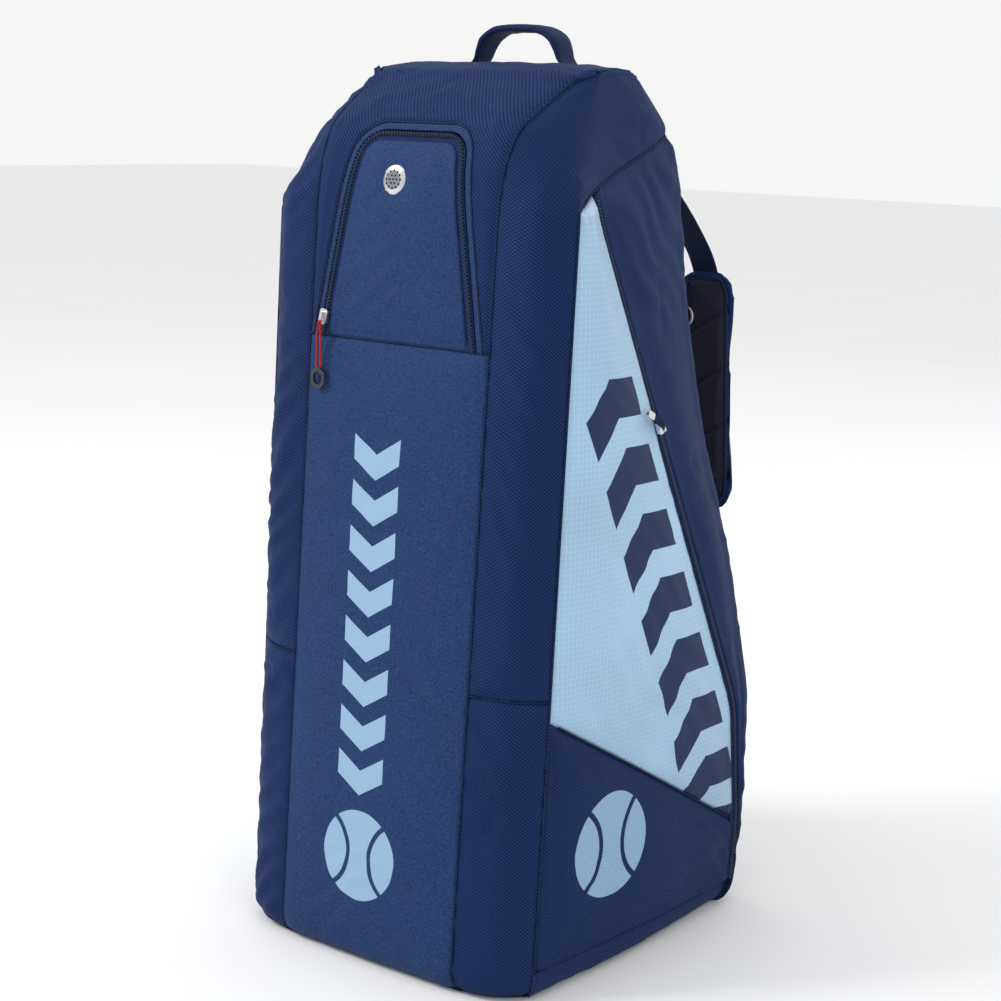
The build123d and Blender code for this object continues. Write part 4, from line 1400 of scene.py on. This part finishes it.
def inflate(obj, pressure=4.0, cap=0.005, frames=20):
    """Fills a closed piece like an airbag by cloth simulation. No point moves more than cap, in metres."""
    start = coordinates(obj.data)
    cloth = obj.modifiers.new("cloth", "CLOTH")
    cloth.settings.quality = 6
    cloth.settings.use_pressure = True
    cloth.settings.uniform_pressure_force = pressure
    cloth.settings.tension_stiffness = 18
    cloth.settings.compression_stiffness = 12
    cloth.settings.bending_stiffness = 0.6
    cloth.settings.effector_weights.gravity = 0
    cloth.collision_settings.use_self_collision = False
    cloth.point_cache.frame_start = 1
    cloth.point_cache.frame_end = frames
    scene = bpy.context.scene
    for frame_number in range(1, frames + 1):
        scene.frame_set(frame_number)
    mesh = bpy.data.meshes.new_from_object(obj.evaluated_get(bpy.context.evaluated_depsgraph_get()))
    moved = coordinates(mesh) - start
    far = np.linalg.norm(moved, axis=1, keepdims=True)
    co = start + moved * np.minimum(1.0, cap / np.maximum(far, 1e-9))
    mesh.vertices.foreach_set("co", co.ravel())
    obj.modifiers.clear()
    obj.data = mesh
    scene.frame_set(1)
    return obj


def quilt_depth(across, run):
    """How deep the sewn diagonal lines press into the pad's inner face."""
    phase = (run + across * 0.62) / QUILT_PITCH
    gap = abs(phase - round(phase)) * QUILT_PITCH / 1.18
    return 3.4 * math.exp(-(gap / 3.0) ** 2)


def rim_depth(across, run, length):
    """How deep the mesh face's sewn edge presses in, all the way round."""
    half = pad_half_width(min(max(run, 0), length), length) - PAD_RIM
    gap = abs(half - abs(across))
    if abs(across) < half:
        gap = min(gap, abs(min(run, length - run) - PAD_RIM))
    return 2.0 * math.exp(-(gap / 2.2) ** 2)


def inside_mesh(across, run, length):
    """Whether a place on the pad's inner face lies on its mesh, inside the cover's turned-over rim."""
    if not PAD_RIM < run < length - PAD_RIM:
        return False
    return abs(across) < pad_half_width(run, length) - PAD_RIM


def finish_pad(obj):
    """Presses in the quilted lines and gives the pad its texture places and its two cloths."""
    line, across, out, run = pad_frame()
    mesh = obj.data
    co = coordinates(mesh) / MM
    nearest = np.array([np.argmin(((line - p) ** 2).sum(axis=1)) for p in co])
    off = co - line[nearest]
    wide = off @ across
    height = np.einsum("ij,ij->i", off, out[nearest])
    spot = run[nearest] + np.einsum("ij,ij->i", off, np.gradient(line, axis=0)[nearest] / 3.0)
    for i in range(len(co)):
        if height[i] >= 0:
            continue
        if inside_mesh(wide[i], spot[i], run[-1]):
            co[i] += out[nearest[i]] * quilt_depth(wide[i], spot[i])
        co[i] += out[nearest[i]] * rim_depth(wide[i], spot[i], run[-1])
    mesh.vertices.foreach_set("co", (co * MM).ravel())
    layer = mesh.uv_layers.new(name="UVMap")
    loops = np.empty(len(mesh.loops), dtype=np.int32)
    mesh.loops.foreach_get("vertex_index", loops)
    places = np.stack([wide, spot], axis=1)[loops] * MM
    layer.data.foreach_set("uv", places.astype(np.float32).ravel())
    mesh.materials.clear()
    mesh.materials.append(NAVY_RIB)
    mesh.materials.append(STRAP_MESH)
    mean_out = Vector(out.mean(axis=0))
    for face in mesh.polygons:
        at = face.vertices[0]
        face.use_smooth = True
        inner = face.normal.dot(mean_out) < -0.2 and inside_mesh(wide[at], spot[at], run[-1])
        face.material_index = 1 if inner else 0
    mesh.update()


def build_pad():
    obj = pad_start_mesh("right_pad")
    applied(obj, "REMESH", "remesh", mode="VOXEL", voxel_size=0.004)
    inflate(obj)
    applied(obj, "SUBSURF", "smooth", levels=1, render_levels=1)
    finish_pad(obj)
    twin = bpy.data.objects.new("left_pad", obj.data.copy())
    bpy.context.scene.collection.objects.link(twin)
    twin.data.transform(Matrix.Scale(-1, 4, Vector((1, 0, 0))))
    twin.data.flip_normals()
    for piece, side in ((obj, "right"), (twin, "left")):
        settle(piece, f"{side}_strap", [f"{side}_strap_pad", f"{side}_strap_lining"])


def back_y(x, z):
    """The back's y at x and z, on the bag's own centre."""
    return min((abs(section(BACK, z, t)[0] - x), section(BACK, z, t)[1]) for t in np.linspace(0, 1, 121))[1]


def strap_web(side, name, points, half_w, half_t, seed):
    """Webbing in the strap's plane through (y, z) points."""
    line = mirror_line(resample([strap_at(*p) for p in points], 4.0), side)
    across = mirror_line(strap_axes()[1], side)
    return sweep(f"{side}_{name}", line, half_w, half_t, across, WEBBING, sides=16, square=0.45, lumps=0.25,
                 seed=seed)


def build_pad_welt(side):
    """The rim's thin welt, round the pad's inner face."""
    line, across, out, run = pad_frame()
    loop, outs = [], []
    for sign, order in ((1, range(len(run))), (-1, range(len(run) - 1, -1, -1))):
        for i in order:
            if 8.0 <= run[i] <= run[-1] - 8.0:
                half = pad_half_width(run[i], run[-1]) - PAD_RIM
                loop.append(line[i] + across * sign * half - out[i] * 5.4)
                outs.append(out[i])
    loop, outs = mirror_line(loop, side), mirror_line(outs, side)
    obj = sweep(f"{side}_pad_welt", loop, 1.0, 1.0, outs, PIPING, sides=8, square=1.0, closed=True)
    settle(obj, f"{side}_strap")


def build_strap_webs(side):
    """The webbing above and below the pad. Each bends beside the place where it is sewn to the back."""
    sewn_y = back_y(70, 690)
    top = [(back_y(72, 664) + 1.9, 664), (sewn_y + 1.9, 688), (sewn_y + 6, 694.5), (82, 692), (100, 682),
           (150, 643), (188, 606), (204, 583), (208, 566)]
    obj = strap_web(side, "top_webbing", top, 13.0, 1.5, 1)
    settle(obj, None, [f"{side}_strap_top_web", f"{side}_strap_anchors"])
    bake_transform(obj)

    sewn_y = back_y(100, 95)
    foot = [(203, 362), (201.5, 344), (196, 318), (191, 260), (188.5, 200), (186.5, 140), (184, 112),
            (sewn_y + 3, 97), (sewn_y + 1.7, 84)]
    obj = strap_web(side, "foot_webbing", foot, 12.2, 1.1, 2)
    settle(obj, None, [f"{side}_strap_foot_web"])
    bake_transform(obj)


def small_strip(side, name, path, half_w, half_t, material, node):
    """A short piece of webbing on the strap."""
    path = mirror_line([(x, y + SHIFT_Y, z) for x, y, z in path], side)
    obj = sweep(f"{side}_{name}", resample(path, 2.0), half_w, half_t, SIDEWAYS, material)
    settle(obj, f"{side}_strap", [f"{side}_{node}"])


def build_strap(side):
    build_pad_welt(side)
    build_strap_webs(side)
    x = 62
    loop = [(189, 548), (189, 565), (190.2, 570), (193.5, 571.4), (195.6, 569), (195.8, 556), (195.6, 545),
            (193, 541.8), (190, 543)]
    small_strip(side, "ring_loop", [(x, y, z) for y, z in loop], 4.0, 0.8, WEBBING, "strap_loop")
    tab = [(52.2, 195.3, 578), (52.2, 195.3, 569), (52.2, 195.4, 560)]
    small_strip(side, "red_tab", tab, 2.3, 0.9, RED_CORD, "strap_tab")


# ---------------------------------------------------------------- zipper pulls and other trim
PARK_Z = 466.0          # where the side slider is parked


def side_pull_frame():
    """The right side pull's base, and the directions along it and out of the door."""
    z0, z1 = 200.0, 560.0       # the zip is straight between these heights
    low, high = (np.array((straight(ZIP_X, z), straight(ZIP_Y, z), z)) for z in (z0, z1))
    along_zip = (high - low) / np.linalg.norm(high - low)
    here = low + (high - low) * (PARK_Z - z0) / (z1 - z0)
    hinge = np.array((158.0, -150 + 0.042 * PARK_Z, PARK_Z))
    across = (here - hinge) / np.linalg.norm(here - hinge)
    out = np.cross(across, along_zip)
    out /= np.linalg.norm(out)
    base = here - across * 3.1 + out * 7.5 + np.array((0, SHIFT_Y, 0))
    ahead = np.array((0.2, -28.0, 15.0))
    ahead -= out * (ahead @ out)
    ahead /= np.linalg.norm(ahead)
    return base, ahead, out


def build_side_pull(side):
    base, ahead, out = side_pull_frame()
    path = [base + ahead * a + out * h for a, h in ((0.4, -0.6), (3, 0.8), (8, 1.1), (14, 0.9), (22.5, 0.9))]
    path = mirror_line(resample(path, 1.5), side)
    wide = mirror_line(np.cross(out, ahead), side)
    obj = sweep(f"{side}_pull_strip", path, 3.5, 0.8, wide, WEBBING, sides=12, square=0.5)
    settle(obj, f"{side}_pull", [f"{side}_pull_ribbon"])


def build_cord():
    """The red cord: one loop from the pocket's slider, through the pull's end and back."""
    z = 549.0
    x = -(POCKET_HALF - POCKET_SLOPE * (z - POCKET_Z)) + 3.1
    y = -184 + 0.056 * z + SHIFT_Y - (1.6 + 0.7 + 4.8 + 1.3)
    route = [(-0.6, 1.5, -3), (-1.5, 0, -7), (-2.3, -0.2, -16), (-1.7, 0.2, -26), (-2.6, 0, -36),
             (-2.4, 0, -41), (-1.2, 0, -43.6), (1.2, 0, -43.6), (2.4, 0, -41), (2.3, 0, -34),
             (2.6, -0.3, -24), (1.7, 0.1, -15), (1.6, 0, -7), (0.7, 1.5, -3)]
    points = [(x + dx, y + dy, z + dz) for dx, dy, dz in route]
    curve = bpy.data.curves.new("pull_cord", "CURVE")
    curve.dimensions = "3D"
    spline = curve.splines.new("NURBS")
    spline.points.add(len(points) - 1)
    for knot, p in zip(spline.points, points):
        knot.co = (p[0] * MM, p[1] * MM, p[2] * MM, 1)
    spline.order_u = 3
    spline.use_endpoint_u = True
    curve.bevel_depth = 0.0009
    curve.bevel_resolution = 4
    curve.use_fill_caps = True
    curve.materials.append(RED_CORD)
    obj = bpy.data.objects.new("pull_cord", curve)
    bpy.context.scene.collection.objects.link(obj)
    settle(obj, "pocket_pull", ["pocket_pull_cord"])


def paint_hardware():
    """The frame's own hard pieces take their finishes."""
    finishes = {"pocket_slider": SILVER, "pocket_pull_end": DARK_PLASTIC, "vent_eyelet": EYELET,
                "vent_washer": SILVER}
    for side in ("right", "left"):
        finishes.update({f"{side}_slider": CHROME, f"{side}_pull_tip": CHROME, f"{side}_strap_ring": SILVER,
                         f"{side}_strap_adjuster": DARK_PLASTIC})
    for name, material in finishes.items():
        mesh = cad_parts[name].data
        mesh.materials.clear()
        mesh.materials.append(material)


# ---------------------------------------------------------------- camera, floor and light
AZIMUTH, ELEVATION, ROLL = math.radians(36.49), math.radians(11.09), math.radians(1.74)
TARGET = Vector((0, SHIFT_Y, 385)) * MM
CAMERA_DISTANCE = 1.7728
LENS, LENS_SHIFT = 71.37, (-0.0024, -0.0048)
FLOOR_HALF = 15000


def build_camera():
    back = Vector((math.sin(AZIMUTH) * math.cos(ELEVATION), -math.cos(AZIMUTH) * math.cos(ELEVATION),
                   math.sin(ELEVATION)))
    right = Vector((0, 0, 1)).cross(back).normalized()
    up = back.cross(right)
    rolled_up = up * math.cos(ROLL) - right * math.sin(ROLL)
    rolled_right = right * math.cos(ROLL) + up * math.sin(ROLL)
    data = bpy.data.cameras.new("camera")
    data.lens = LENS
    data.sensor_width = 36
    data.shift_x, data.shift_y = LENS_SHIFT
    data.clip_end = 60
    obj = bpy.data.objects.new("camera", data)
    turn = Matrix((rolled_right, rolled_up, back)).transposed().to_4x4()
    obj.matrix_world = Matrix.Translation(TARGET + back * CAMERA_DISTANCE) @ turn
    bpy.context.scene.collection.objects.link(obj)
    bpy.context.scene.camera = obj


def area_light(name, place, aim, size, power):
    data = bpy.data.lights.new(name, "AREA")
    data.shape = "RECTANGLE"
    data.size, data.size_y = size
    data.energy = power
    obj = bpy.data.objects.new(name, data)
    direction = Vector(aim) - Vector(place)
    obj.rotation_mode = "QUATERNION"
    obj.rotation_quaternion = direction.to_track_quat("-Z", "Y")
    obj.location = place
    bpy.context.scene.collection.objects.link(obj)


def build_stage():
    corners = [(-FLOOR_HALF, -FLOOR_HALF, 0), (FLOOR_HALF, -FLOOR_HALF, 0), (FLOOR_HALF, FLOOR_HALF, 0),
               (-FLOOR_HALF, FLOOR_HALF, 0)]
    floor = mesh_object("floor", corners, [(0, 1, 2, 3)], None, None, (floor_material(),))
    world = bpy.data.worlds.new("studio")
    world.use_nodes = True
    background = world.node_tree.nodes["Background"].inputs
    background["Color"].default_value = (1, 1, 1, 1)
    background["Strength"].default_value = 0.92
    bpy.context.scene.world = world
    bpy.context.scene.view_settings.view_transform = "Standard"
    area_light("key", (-1.9, -2.0, 2.5), (0, 0, 0.4), (1.0, 1.0), 62)
    area_light("side", (2.6, -1.6, 1.9), (0, 0, 0.35), (0.7, 1.6), 11)
    area_light("rear", (0.6, 2.8, 2.2), (0, 0, 0.5), (1.6, 1.6), 15)


build_camera()
build_cord()
build_front()
build_flap()
for hand in ("right", "left"):
    build_gussets(hand)
    build_rear(hand)
    build_opening(hand)
    build_door(hand)
    build_door_zip(hand)
    build_strap(hand)
    build_side_pull(hand)
build_pad()
build_back()
build_base()
build_liner()
build_divider()
build_handle()
build_handle_stitches()
paint_hardware()
build_stage()
